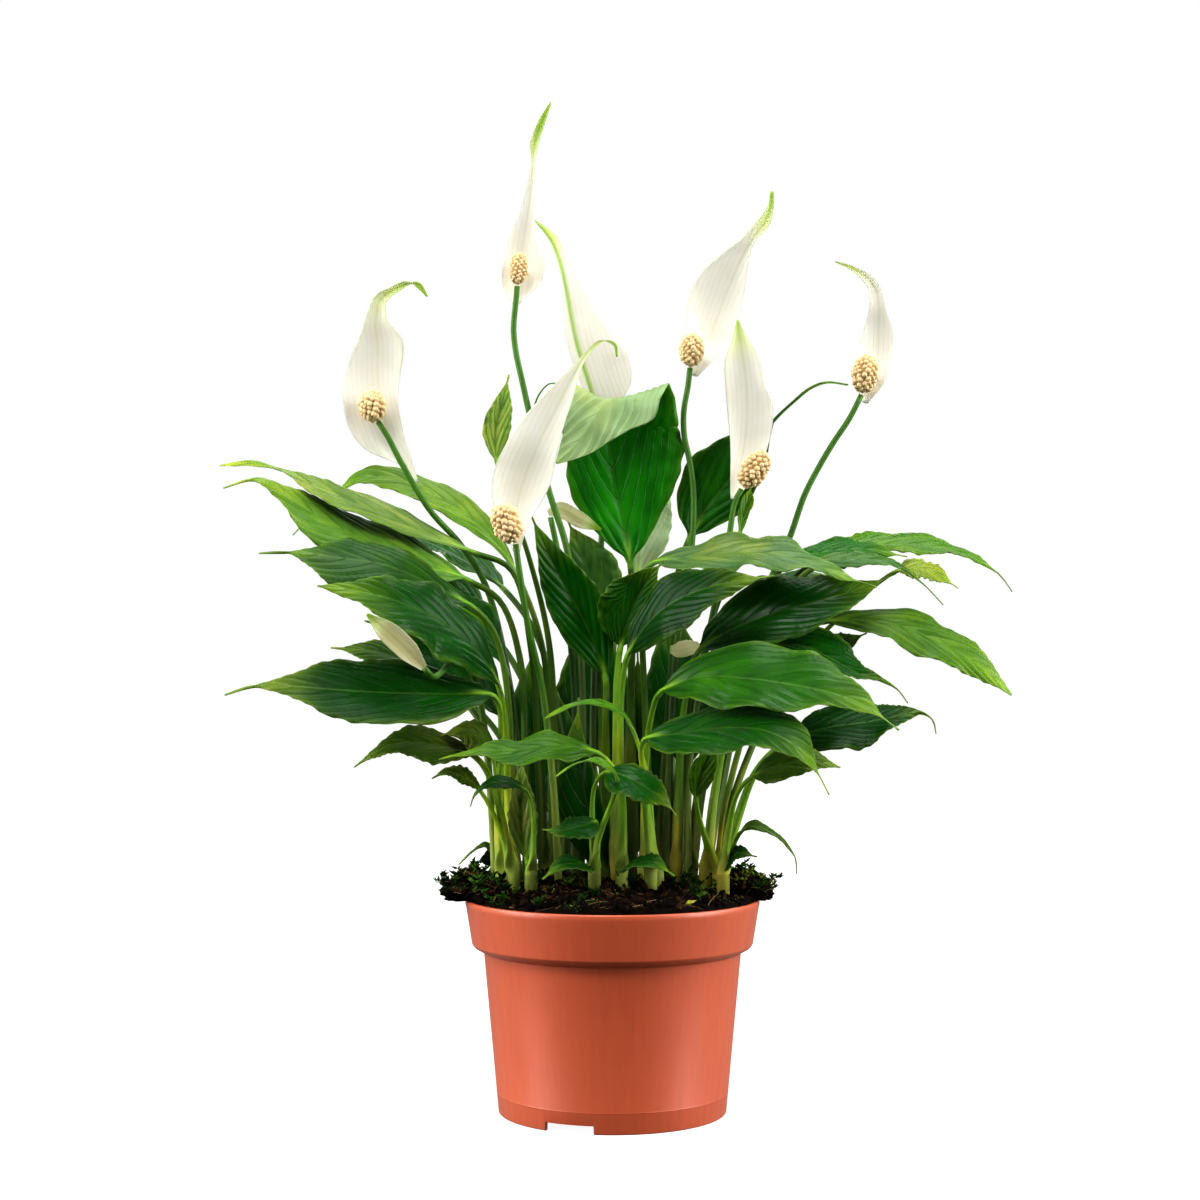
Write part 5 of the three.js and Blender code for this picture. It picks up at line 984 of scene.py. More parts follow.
def spathe_tint(look, finish, t, both, far, under):
    """White, then cream, then green to the tip; a green rib and a green margin near the tip."""
    # dim paints light and shade on the white of some spathes
    white = np.array(finish.spent if look.get("faded") else finish.white) * look.get("dim", 1.0)
    tint = np.tile(white, (*far.shape, 1))
    past = t - look["green"]
    before, over = SPATHE_TINT["fade"]
    fade = smooth((past + before) / over)[:, None, None]
    tint = blended(tint, finish.cream, np.clip(fade * SPATHE_TINT["cream"], 0, 1))
    tint = blended(tint, finish.green, smooth(past / SPATHE_TINT["tip"])[:, None, None])
    near_tip = smooth((past + SPATHE_TINT["edge_from"]) / SPATHE_TINT["edge_from"])[:, None]
    edge = np.abs(both) ** SPATHE_TINT["margin"] * near_tip * SPATHE_TINT["edge"]
    tint = blended(tint, finish.green, edge[..., None])
    low = look.get("rib_foot", 0.4)
    rib = np.exp(-(far / look.get("rib_width", 0.8)) ** 2)
    rib = rib * (SPATHE_TINT["rib_over"] + SPATHE_TINT["rib_under"] * under)
    rib = rib * (low + (1 - low) * t[:, None])
    return blended(tint, finish.green, (rib * look["rib"])[..., None])


def spathe_form(form, bloom, look, finish):
    """The white leaf of a bloom, closed like a leaf's blade."""
    path = Path(bloom["rib"])
    rows, columns = SPATHE["rows"], SPATHE["columns"]
    t = np.linspace(0, 1, rows + 1)
    centre, run = path.at(t)
    reach = [
        np.maximum(SPATHE["least"], through(path.shares, [w[i] for w in bloom["widths"]], t))
        for i in range(2)
    ]
    ways = [np.tile(np.array(bloom[k], float), (rows + 1, 1)) for k in ("left", "right")]

    def rise(out, side):
        ripple = SPATHE["ripple"] * reach[side] * np.sin(SPATHE["ripples"] * t + side)
        pleats = SPATHE["pleat"] * np.cos(out * SPATHE["pleats"] * 2 * np.pi)
        pleats = pleats * np.clip(reach[side] / SPATHE["narrow"], 0, 1)
        cup = SPATHE["cup"] * reach[side] * (out ** 2 - out)
        return cup + ripple * out ** 2 + pleats * (1 - out ** 4)

    ridge = SPATHE["ridge"] * np.sin(np.pi * np.clip(t, 0.05, 1)) ** 0.5
    thick = (SPATHE["thick"], SPATHE["edge"])
    rings, s = blade_rings(centre, run, ways, reach, rise, thick, ridge, columns)
    both = np.concatenate([s, s[::-1]])
    far = np.abs(both) * np.stack(reach, axis=1)[:, (both >= 0).astype(int)]
    under = np.concatenate([np.zeros(columns), np.ones(columns)])
    info = np.stack([far, far / SPATHE["vein_gap"], np.broadcast_to(under, far.shape)], axis=2)
    tint = spathe_tint(look, finish, t, both, far, under)
    points, faces = loft(rings)
    form.add(points, faces, tint.reshape(-1, 3), info.reshape(-1, 3))


def stem_form(form, bloom, finish):
    """A round stem from its buried foot to its spathe."""
    foot = bloom["foot"]
    path = Path([[*foot, FOOT["collar"]], *bloom["stem"]])
    steps = round(path.length / STEM["pitch"])
    k = np.arange(0, steps + 1) / steps
    centre, run = path.at(k)
    centre = np.vstack([place([*foot, FOOT["buried"]]), centre])
    run = np.vstack([UP, run])
    run[1] = UP
    radii = STEM["foot"] + (STEM["top"] - STEM["foot"]) * np.concatenate([[0], k])
    rings = round_rings(centre, run, np.array([1, 0.2, 0.1]), radii, STEM["sides"] // 2)
    up = np.linspace(0, 1.5, len(rings))[:, None, None] * np.ones((1, STEM["sides"], 1))
    tint = blended(np.array(finish.stalk_foot), finish.stem, smooth(up))
    # painted shade: a stem is darkened deep in the clump, and less as it rises clear of it
    clear = smooth((centre[:, 2] - SHADE["clear"]) / SHADE["clear_over"])
    shade = deep_shade(foot[1], finish) * (1 - clear)
    tint = blended(tint, finish.shaded, shade[:, None, None])
    points, faces = loft(rings)
    form.add(points, faces, tint.reshape(-1, 3))


def thrown_away(piece):
    """Removes the piece and its mesh."""
    mesh = piece.data
    bpy.data.objects.remove(piece)
    bpy.data.meshes.remove(mesh)


def ball(subdivisions):
    """Points and faces of a ball of radius one, from Blender's own."""
    clear_selection()
    bpy.ops.mesh.primitive_ico_sphere_add(subdivisions=subdivisions, radius=1)
    made = bpy.context.object
    points = np.array([v.co for v in made.data.vertices])
    faces = np.array([list(p.vertices) for p in made.data.polygons])
    thrown_away(made)
    return points, faces


def turned_to(direction):
    """Three axes, the last of them along the direction."""
    z = unit(np.asarray(direction, float))
    x = unit(np.cross([0, 1, 0.1], z))
    return np.stack([x, np.cross(z, x), z])


def spadix_form(form, spadix, finish, draw):
    """A blunt club set with round florets that crowd each other along a spiral."""
    low, high = place(spadix["foot"]), place(spadix["top"])
    radius = spadix["radius"]
    axes = turned_to(high - low)
    half = np.linalg.norm(high - low) / 2
    middle = (low + high) / 2
    points, faces = ball(4)
    # the core shows between the florets in the darker gap colour, a painted shade
    core = points * [radius * SPADIX["core"], radius * SPADIX["core"], half * SPADIX["core_tall"]]
    form.add(middle + core @ axes, faces, finish.spadix_gap_shade)
    knob, knob_faces = ball(2)
    count, stray, turn = SPADIX["knobs"], SPADIX["stray"], SPADIX["turn"]
    golden = math.pi * (3 - math.sqrt(5))
    gap, floret = np.array(finish.spadix_gap_shade), np.array(finish.spadix)
    for k in range(count):
        z = 1 - 2 * (k + 0.5 + draw.uniform(-stray, stray)) / count
        ring = max(0.0, 1 - abs(z) ** (2 / SPADIX["blunt"])) ** 0.5
        angle = golden * k + draw.uniform(-turn, turn)
        at = np.array([math.cos(angle) * ring * radius, math.sin(angle) * ring * radius, half * z])
        at = at * SPADIX["seat"]
        out = unit(at / [radius ** 2, radius ** 2, half ** 2])
        size = SPADIX["knob"] * radius / SPADIX["full_radius"] * draw.uniform(*SPADIX["sizes"])
        bump = knob * size * [1, 1, draw.uniform(*SPADIX["tall"])]
        shade = draw.uniform(*SPADIX["shades"])
        # painted shade: a floret is darker where it meets its neighbours
        tip = np.clip((knob[:, 2:] + 0.5) * 1.3, 0, 1)
        shades = gap + (floret * shade - gap) * tip
        form.add(middle + (bump @ turned_to(out) + at) @ axes, knob_faces, shades)


# ---- what a user may change ----
def length_setting(name, text, metres):
    """A length of the panel, in metres."""
    return bpy.props.FloatProperty(name=name, description=text, default=metres, unit="LENGTH")


def share_setting(name, text, part):
    """A share of the panel, from none to all."""
    return bpy.props.FloatProperty(name=name, description=text, default=part, min=0, max=1)


def count_setting(name, text, pieces):
    """A number of loose pieces."""
    return bpy.props.IntProperty(name=name, description=text, default=pieces, min=0)


def colour_setting(name, text, code):
    """A colour of the panel, given as a web colour code."""
    return bpy.props.FloatVectorProperty(
        name=name, description=text, subtype="COLOR", default=colour(code))


class PotSettings(bpy.types.PropertyGroup):
    """Sizes and colour of the nursery pot."""

    height: length_setting("Height", "From the ground to the lip", 0.0935)
    rim: length_setting("Rim radius", "Outside radius of the lip", 0.065)
    neck: length_setting("Neck radius", "Outside radius under the rim band", 0.0568)
    foot: length_setting("Foot radius", "Outside radius at the ground", 0.0502)
    wall: length_setting("Wall", "Thickness of the plastic", 0.0015)
    plastic: colour_setting("Plastic", "Colour of the plastic", "d2643b")


class PlantSettings(bpy.types.PropertyGroup):
    """Colours of leaves and blooms."""

    sheath: share_setting("Sheath", "How far a stalk's sheath spreads at its foot", 0.55)
    # painted shade: inner_shade and the shaded colour darken the stalks and stems deep in the clump
    inner_shade: share_setting("Inner shade", "How much darker the inner stalks are", 0.8)
    dark: colour_setting("Dark leaves", "Top of the oldest leaves", "0a5402")
    mid: colour_setting("Green leaves", "Top of most leaves", "1e6c06")
    light: colour_setting("Young leaves", "Top of the youngest leaves", "52900f")
    grey: colour_setting("Dull leaves", "Leaves with a dull sheen", "467a2e")
    olive: colour_setting("Old leaves", "Leaves that turn yellow", "4a7214")
    under: colour_setting("Underside", "Underside of the leaves", "a2b48c")
    tip: colour_setting("Tips", "Tips and margins of the leaves", "84a82c")
    stalk_foot: colour_setting("Stalk foot", "Stalks near the soil", "aab858")
    # painted shade for the stalks and stems deep in the clump
    shaded: colour_setting("Inner stalks", "Stalks deep in the clump", "16380a")
    stalk: colour_setting("Stalk", "Stalks near the blade", "7cac2e")
    stem: colour_setting("Bloom stem", "Stems of the blooms", "47781d")
    white: colour_setting("Spathe", "The white leaf of a bloom", "e7e3d5")
    spent: colour_setting("Spent spathe", "The white leaf of an old bloom", "d2cc94")
    cream: colour_setting("Spathe fade", "Between white and green", "dbe3a0")
    green: colour_setting("Spathe tip", "Green tips and ribs of the blooms", "86aa2e")
    spadix: colour_setting("Florets", "Knobs of the spadix", "ecd4a6")
    # painted shade between the florets
    spadix_gap_shade: colour_setting("Between florets", "Gaps of the spadix", "c8a06a")

    def finish(self):
        """The settings as plain numbers and lists, and the leaves' tones by name."""
        names = self.bl_rna.properties.keys()
        values = {n: getattr(self, n) for n in names if n not in ("rna_type", "name")}
        values = {n: v if isinstance(v, float) else list(v) for n, v in values.items()}
        look = SimpleNamespace(**values)
        look.tones = {n: values[n] for n in ("dark", "mid", "light", "grey", "olive")}
        return look


class SoilSettings(bpy.types.PropertyGroup):
    """Shape and colour of the peat."""

    crown: length_setting("Crown", "Height of the soil at its middle", 0.102)
    edge: length_setting("Edge", "Height of the soil at the wall", 0.095)
    crumbs: count_setting("Crumbs", "Loose crumbs of peat", 1900)
    fibres: count_setting("Fibres", "Root fibres on the soil", 420)
    moss: count_setting("Moss", "Leaflets of moss", 1500)
    sprigs: count_setting("Sprigs", "Upright stems of moss", 230)
    peat: colour_setting("Peat", "Colour of damp peat", "0c0704")


class StageSettings(bpy.types.PropertyGroup):
    """Floor, lights and camera."""

    floor: length_setting("Floor", "Side of the floor", 6.0)
    lens: bpy.props.FloatProperty(
        name="Lens", description="Focal length in millimetres", default=64.2)
    pitch: bpy.props.FloatProperty(
        name="Pitch", description="How far the camera looks up", default=math.radians(1.4),
        unit="ROTATION")


# ---- materials ----
SURFACE = {
    "base": "Base Color", "roughness": "Roughness", "normal": "Normal",
    "specular": "Specular IOR Level", "coat": "Coat Weight", "coat_roughness": "Coat Roughness",
    "glow": "Emission Color", "glow_strength": "Emission Strength",
    "subsurface": "Subsurface Weight", "radius": "Subsurface Radius", "scale": "Subsurface Scale",
}


class Finish:
    """The nodes of one material, added and joined one by one."""

    def __init__(self, name):
        self.material = bpy.data.materials.new(name)
        self.material.use_nodes = True
        self.nodes, self.links = self.material.node_tree.nodes, self.material.node_tree.links
        self.shader = self.nodes["Principled BSDF"]

    def add(self, kind, inputs=(), **settings):
        node = self.nodes.new(kind)
        for key, value in settings.items():
            setattr(node, key, value)
        for key, value in dict(inputs).items():
            if isinstance(value, bpy.types.NodeSocket):
                self.links.new(value, node.inputs[key])
            else:
                node.inputs[key].default_value = value
        return node

    def read(self, name, output="Vector"):
        return self.add("ShaderNodeAttribute", attribute_name=name).outputs[output]

    def where(self):
        return self.add("ShaderNodeTexCoord").outputs["Object"]

    def stretched(self, scale):
        inputs = {"Vector": self.where(), "Scale": scale}
        return self.add("ShaderNodeMapping", inputs).outputs["Vector"]

    def math(self, operation, *values):
        return self.add("ShaderNodeMath", dict(enumerate(values)), operation=operation).outputs[0]

    def times(self, first, second):
        return self.math("MULTIPLY", first, second)

    def plus(self, first, second):
        return self.math("ADD", first, second)

    def lines(self, count, low, high):
        """One along every whole number of the count, fading to nothing beside it."""
        ring = self.math("ABSOLUTE", self.math("SINE", self.times(count, math.pi)))
        return self.between(ring, low, high, 1, 0)

    def noise(self, scale, detail=3.0, vector=None, roughness=0.55):
        inputs = {"Scale": scale, "Detail": detail, "Roughness": roughness}
        inputs["Vector"] = vector or self.where()
        return self.add("ShaderNodeTexNoise", inputs).outputs["Fac"]

    def between(self, value, low, high, to_low=0.0, to_high=1.0):
        inputs = {0: value, 1: low, 2: high, 3: to_low, 4: to_high}
        kind = {"interpolation_type": "SMOOTHSTEP"}
        return self.add("ShaderNodeMapRange", inputs, **kind).outputs[0]

    def mix(self, factor, first, second, blend="MIX"):
        node = self.add("ShaderNodeMix", data_type="RGBA", blend_type=blend)
        for key, value in (("Factor", factor), ("A", first), ("B", second)):
            socket = next(s for s in node.inputs if s.name == key and s.enabled)
            if isinstance(value, bpy.types.NodeSocket):
                self.links.new(value, socket)
            elif isinstance(value, float):
                socket.default_value = value
            else:
                socket.default_value = [*value, 1.0]
        return next(s for s in node.outputs if s.enabled)

    def shaded(self, factor, base, shade):
        """The base, multiplied by the shade as far as the factor says."""
        return self.mix(factor, base, self.mix(1.0, base, shade, "MULTIPLY"))

    def bump(self, height, distance, strength):
        inputs = {"Height": height, "Distance": distance, "Strength": strength}
        return self.add("ShaderNodeBump", inputs).outputs["Normal"]

    def done(self, **inputs):
        """The material, its surface set by the inputs, which have short names."""
        for key, value in inputs.items():
            socket = self.shader.inputs[SURFACE[key]]
            if isinstance(value, bpy.types.NodeSocket):
                self.links.new(value, socket)
            else:
                socket.default_value = value
        return self.material


def leaf_finish():
    """Satin green blade: sunken veins, pale rib, mottled colour, streaks of painted sheen and
    painted shade, duller underside.
    """
    f = Finish("leaf_green")
    parts = f.add("ShaderNodeSeparateXYZ", {"Vector": f.read("blade")}).outputs
    from_rib, veins, under = (parts[k] for k in range(3))
    tint = f.read("tint", "Color")
    rib = f.between(from_rib, 0.25, 0.8, 1, 0)
    vein = f.lines(veins, 0.02, 0.22)
    fine = f.lines(f.times(veins, 3.0), 0.0, 0.6)
    clear = f.math("SUBTRACT", 1.0, f.times(under, 0.85))
    mottle = f.noise(95, 4)
    patch = f.noise(22, 2)
    # streaks that run along the veins, bent by the patches: pale ones are a painted sheen, dark
    # ones painted shade
    flow = {0: f.times(veins, 1.1), 1: f.times(from_rib, 0.09), 2: f.times(patch, 3.0)}
    streak = f.noise(1.2, 2, f.add("ShaderNodeCombineXYZ", flow).outputs[0])
    base = f.shaded(f.between(mottle, 0.3, 0.7, 0, 0.4), tint, colour("b9c99a"))
    base = f.shaded(f.between(patch, 0.5, 0.7, 0, 0.6), base, (2.2, 1.4, 0.8))
    # painted sheen: pale greyish streaks on the top side
    bright = f.times(f.between(streak, 0.48, 0.66, 0, 0.55), clear)
    base = f.shaded(bright, base, (1.9, 1.4, 1.3))
    # painted shade: dark streaks along the veins on the top side
    deep = f.times(f.between(streak, 0.34, 0.48, 0.65, 0), clear)
    base = f.shaded(deep, base, (0.45, 0.6, 0.45))
    base = f.shaded(f.times(vein, 0.16), base, colour("8fae86"))
    base = f.mix(f.times(rib, 0.12), base, colour("7fa544"))
    height = f.plus(f.times(vein, -0.7), f.times(fine, -0.08))
    height = f.plus(height, f.times(f.noise(600, 1), 0.03))
    height = f.plus(height, f.times(f.noise(60, 1), 0.3))
    rough = f.plus(f.between(mottle, 0.3, 0.7, 0.26, 0.36), f.times(under, 0.18))
    return f.done(base=base, roughness=rough, normal=f.bump(height, 0.0003, 0.7), specular=0.17)


def stem_finish():
    """Smooth green stem with faint lengthwise streaks."""
    f = Finish("stem_green")
    tint = f.read("tint", "Color")
    streak = f.noise(500, 3, f.stretched((1, 1, 0.06)))
    base = f.shaded(f.between(streak, 0.35, 0.65, 0, 0.5), tint, colour("b4c58c"))
    return f.done(base=base, roughness=f.between(streak, 0.3, 0.7, 0.36, 0.5),
                  normal=f.bump(streak, 0.0001, 0.6), specular=0.3)


def spathe_finish(name):
    """Waxy white spathe with fine lengthwise veins."""
    f = Finish(name)
    parts = f.add("ShaderNodeSeparateXYZ", {"Vector": f.read("blade")}).outputs
    vein = f.lines(parts[1], 0.0, 0.6)
    cloud = f.noise(60, 3)
    base = f.shaded(f.times(vein, 0.16), f.read("tint", "Color"), colour("d2dcae"))
    base = f.shaded(f.between(cloud, 0.4, 0.7, 0, 0.3), base, colour("ece6d0"))
    height = f.plus(f.times(vein, -0.45), f.times(f.noise(350, 1), 0.2))
    return f.done(base=base, roughness=f.between(cloud, 0.3, 0.7, 0.42, 0.55),
                  normal=f.bump(height, 0.0002, 0.6), specular=0.3, subsurface=0.3,
                  radius=(1.0, 0.95, 0.85), scale=0.004)


def spadix_finish():
    """Grainy cream florets."""
    f = Finish("spadix_cream")
    grain = f.noise(1400, 2)
    base = f.shaded(f.between(grain, 0.35, 0.7, 0, 0.4), f.read("tint", "Color"), colour("d8bf8c"))
    return f.done(base=base, roughness=f.between(grain, 0.3, 0.7, 0.6, 0.78),
                  normal=f.bump(grain, 0.00015, 0.7), specular=0.35)


def plastic_finish(settings):
    """Satin moulded plastic with faint upright streaks and a fine moulding grain."""
    f = Finish("terracotta_plastic")
    streak = f.noise(260, 3, f.stretched((1, 1, 0.03)))
    cloud = f.noise(26, 3)
    base = f.shaded(f.between(streak, 0.3, 0.7, 0, 0.3), list(settings.plastic), colour("e8cdc0"))
    base = f.shaded(f.between(cloud, 0.35, 0.7, 0, 0.25), base, colour("ecd2c4"))
    height = f.plus(f.times(streak, 0.6), f.times(f.noise(1500, 2), 0.25))
    return f.done(base=base, roughness=f.between(streak, 0.3, 0.7, 0.36, 0.5),
                  normal=f.bump(height, 0.00012, 0.6), specular=0.8,
                  coat=0.6, coat_roughness=0.45)


def peat_finish(settings):
    """Damp, fibrous, nearly black peat."""
    f = Finish("peat")
    lump = f.noise(180, 5, roughness=0.7)
    fleck = f.noise(700, 3)
    base = f.mix(f.between(lump, 0.35, 0.65), list(settings.peat), colour("120b07"))
    base = f.mix(f.between(fleck, 0.62, 0.77, 0, 0.6), base, colour("3c2819"))
    height = f.plus(lump, f.times(fleck, 0.4))
    return f.done(base=base, roughness=f.between(fleck, 0.3, 0.7, 0.75, 0.95),
                  normal=f.bump(height, 0.0012, 0.8), specular=0.05)


def litter_finish(name, rough, bump):
    """Loose bits on the soil, each in its own tint."""
    f = Finish(name)
    grain = f.noise(1100, 3)
    base = f.shaded(f.between(grain, 0.35, 0.7, 0, 0.6), f.read("tint", "Color"), colour("9a8c7a"))
    return f.done(base=base, roughness=f.between(grain, 0.3, 0.7, rough - 0.1, rough),
                  normal=f.bump(grain, bump, 0.8), specular=0.05)


def floor_finish():
    """Matt white floor with a breath of grain."""
    f = Finish("white_floor")
    grain = f.noise(30, 2)
    base = f.mix(f.between(grain, 0.3, 0.7), colour("828282"), colour("7c7c7c"))
    return f.done(base=base, roughness=0.9, specular=0.0, glow=(1, 1, 1, 1), glow_strength=0.95)


# ---- working as by hand ----
def clear_selection():
    """Object mode, with nothing selected."""
    if bpy.context.object and bpy.context.object.mode != "OBJECT":
        bpy.ops.object.mode_set(mode="OBJECT")
    bpy.ops.object.select_all(action="DESELECT")


def pick(piece):
    """Selects the piece alone and makes it active."""
    clear_selection()
    piece.select_set(True)
    bpy.context.view_layer.objects.active = piece


def apply_place(piece):
    """Bakes place, turn and size into the mesh."""
    pick(piece)
    bpy.ops.object.transform_apply(location=True, rotation=True, scale=True)


def turned_shell(name, profile, steps):
    """A filled circle whose edge is drawn out and resized along the profile, then filled again."""
    clear_selection()
    radius, height = profile[0]
    bpy.ops.mesh.primitive_circle_add(
        vertices=steps, radius=radius, fill_type="NGON", location=(0, 0, height))
    shell = bpy.context.object
    shell.name = name
    bpy.ops.object.mode_set(mode="EDIT")
    bpy.ops.mesh.select_mode(type="EDGE")
    bpy.ops.mesh.select_all(action="SELECT")
    for wide, up in profile[1:]:
        bpy.ops.mesh.extrude_edges_move(TRANSFORM_OT_translate={"value": (0, 0, up - height)})
        bpy.ops.transform.resize(
            value=(wide / radius, wide / radius, 1), center_override=(0, 0, up))
        radius, height = wide, up
    bpy.ops.mesh.edge_face_add()
    bpy.ops.mesh.select_all(action="SELECT")
    bpy.ops.mesh.normals_make_consistent(inside=False)
    bpy.ops.object.mode_set(mode="OBJECT")
    apply_place(shell)
    return shell


def finish_modifier(piece, modifier):
    """Bakes the modifier into the mesh."""
    pick(piece)
    bpy.ops.object.modifier_apply(modifier=modifier.name)


def cut_away(piece, tool):
    """Cuts the tool's shape out of the piece and removes the tool."""
    apply_place(tool)
    cut = piece.modifiers.new("cut", "BOOLEAN")
    cut.operation, cut.solver, cut.object = "DIFFERENCE", "EXACT", tool
    finish_modifier(piece, cut)
    thrown_away(tool)


def dressed(piece, material, angle):
    """Gives the piece its material and smooth shading up to the angle."""
    piece.data.materials.clear()
    piece.data.materials.append(material)
    pick(piece)
    bpy.ops.object.shade_smooth_by_angle(angle=angle)


# ---- the pot ----
# lengths in metres, angles in degrees; the seam is the mould line above the foot
POT = {
    "lip": 0.0004, "band": 0.0195, "band_foot": 0.062, "shoulder": 0.0035, "ring": 0.0018,
    "lift": 0.0044, "floor": 0.0018, "notch": 0.022, "roof": 0.0007, "notches": 3, "first": -112,
    "hole": 0.004, "hole_ring": 0.03, "steps": 144, "seam": 0.0092, "seam_proud": 0.00012,
    "seam_half": 0.0002, "roll": (0.0003, 0.003), "roll_top": 0.0022, "floor_edge": 0.002,
    "hole_sides": 32, "soften": 0.00025, "soften_from": 28, "smooth_to": 40,
}
# how the shoulder swells from the neck to the band: share outwards, share upwards
SHOULDER = ((0.35, 0.25), (0.8, 0.62))


def pot_profile(s):
    """Radius and height from under the foot, up the outside, over the lip and down to the floor."""
    lip, seam, seam_half = POT["lip"], POT["seam"], POT["seam_half"]
    band = s.height - POT["band"]
    low = band - POT["shoulder"]
    floor = POT["lift"] + POT["floor"]
    inner = s.foot - lip - POT["ring"]
    slope = (s.neck - s.foot) / (low - lip)
    (roll_in, roll_down), wider = POT["roll"], POT["band_foot"] - s.neck

    def wall_at(up):
        return s.foot + slope * (up - lip)

    return [
        (inner - lip, POT["lift"]), (inner, 0), (s.foot - lip, 0), (s.foot, lip),
        (wall_at(seam - seam_half), seam - seam_half), (wall_at(seam) + POT["seam_proud"], seam),
        (wall_at(seam + seam_half), seam + seam_half), (wall_at(low / 2), low / 2), (s.neck, low),
        *((s.neck + wider * out, low + POT["shoulder"] * up) for out, up in SHOULDER),
        (POT["band_foot"], band), (s.rim - roll_in, s.height - roll_down),
        (s.rim, s.height - POT["roll_top"]), (s.rim, s.height - lip), (s.rim - lip, s.height),
        (s.rim - s.wall, s.height), (POT["band_foot"] - s.wall, band + lip),
        (s.neck - s.wall, low + lip), (s.foot - lip, floor + lip),
        (s.foot - POT["floor_edge"], floor),
    ]


def cut_drain(pot, away, angle):
    """A notch through the foot ring, and a hole through the floor on the same radius."""
    cos, sin = math.cos(angle), math.sin(angle)
    clear_selection()
    bpy.ops.mesh.primitive_cube_add(
        size=1, location=(away * cos, away * sin, 0), rotation=(0, 0, angle))
    notch = bpy.context.object
    notch.scale = (5 * POT["ring"], POT["notch"], 2 * (POT["lift"] - POT["roof"]))
    cut_away(pot, notch)
    clear_selection()
    bpy.ops.mesh.primitive_cylinder_add(
        vertices=POT["hole_sides"], radius=POT["hole"], depth=4 * POT["floor"],
        location=(POT["hole_ring"] * cos, POT["hole_ring"] * sin, POT["lift"] + POT["floor"]))
    cut_away(pot, bpy.context.object)


class LILY_OT_pot(bpy.types.Operator):
    """Turn the pot, cut its drain notches and holes, and round its edges"""

    bl_idname = "lily.pot"
    bl_label = "Pot"

    def execute(self, context):
        settings = context.scene.lily_pot
        pot = turned_shell("pot_shell", pot_profile(settings), POT["steps"])
        for k in range(POT["notches"]):
            angle = math.radians(POT["first"] + 360 / POT["notches"] * k)
            cut_drain(pot, settings.foot - POT["lip"], angle)
        soften = pot.modifiers.new("soften", "BEVEL")
        soften.limit_method, soften.angle_limit = "ANGLE", math.radians(POT["soften_from"])
        soften.width, soften.segments = POT["soften"], 2
        finish_modifier(pot, soften)
        dressed(pot, plastic_finish(settings), math.radians(POT["smooth_to"]))
        settle(pot, "pot", "pot")
        return {"FINISHED"}


# ---- the soil ----
# inner is the soil's outline in the pot, as radius and height; brim is how far it stays inside
# the rim, and the height there
SOIL = {
    "rings": 40, "sides": 150, "rough": 1.5, "slack": 2.0, "radius": 63,
    "inner": ((0.5, 6.5), (48, 6.9), (54.6, 70.9), (59.8, 74.7)), "brim": (2.6, 92.6),
}
LUMP = {"rough": 0.35, "grain": 2.3, "shrink": 0.96, "clear": 0.3}
LUMPS = [
    {"at": [-61, -8, 99.4], "size": [9, 11, 7]},
    {"at": [-67.5, -14, 97.2], "size": [6.5, 6, 4.6]},
    {"at": [-52, -24, 97.5], "size": [8, 7, 5.5]},
    {"at": [57, -6, 99], "size": [9.5, 12, 6.4]},
    {"at": [64.5, -11, 97], "size": [5, 6, 4.4]},
]


def rough(x, y, z, scale):
    """Fractal noise, roughly between minus one and one."""
    return noise.fractal(Vector((x * scale, y * scale, z * scale)), 0.8, 2.1, 4)


def soil_height(x, y, settings):
    """Top of the soil, in millimetres, with its mounds."""
    share = min(1.0, math.hypot(x, y) / SOIL["radius"])
    height = settings.crown / MM + (settings.edge - settings.crown) / MM * share ** 2
    return height + SOIL["rough"] * (rough(x, y, 0, 0.12) + 0.5 * rough(x, y, 9, 0.45))


def soil_body(form, settings, rim):
    """The soil down to the pot's floor, its top uneven and highest in the middle."""
    angles = np.linspace(0, 2 * np.pi, SOIL["sides"], endpoint=False)
    inside, height = SOIL["brim"]
    rings = []
    for r, z in (*SOIL["inner"], (rim - inside, height)):
        rings.append([(r * math.cos(a), r * math.sin(a), z) for a in angles])
    for k in range(SOIL["rings"], 0, -1):
        r = (rim - SOIL["slack"]) * (k / (SOIL["rings"] + 0.2))
        ring = [(r * math.cos(a), r * math.sin(a)) for a in angles]
        rings.append([(x, y, soil_height(x, y, settings)) for x, y in ring])
    points, faces = loft(np.array(rings))
    form.add(points, faces, (0, 0, 0))


def soil_lump(form, lump, floor):
    """A rough lump of peat that lies on the rim, flat underneath."""
    points, faces = ball(5)
    at, size = np.array(lump["at"], float), np.array(lump["size"], float)
    swell = [1 + LUMP["rough"] * rough(*(p * LUMP["grain"] + at * 0.1), 1.0) for p in points]
    points = points * np.array(swell)[:, None] * size * LUMP["shrink"] + at
    points[:, 2] = np.maximum(points[:, 2], floor)
    form.add(points, faces, (0, 0, 0))


class LILY_OT_soil(bpy.types.Operator):
    """Fill the pot with rough peat that spills over the rim left and right"""

    bl_idname = "lily.soil"
    bl_label = "Soil"

    def execute(self, context):
        settings, pot = context.scene.lily_soil, context.scene.lily_pot
        form = Form()
        soil_body(form, settings, pot.rim / MM)
        for lump in LUMPS:
            soil_lump(form, lump, pot.height / MM + LUMP["clear"])
        form.piece("peat_bed", "soil", peat_finish(settings), "soil")
        return {"FINISHED"}


# share of the litter on the lumps, how far out of a lump it lies, and the least height there
ON_LUMPS = {"share": 0.3, "out": 0.98, "least": 95}


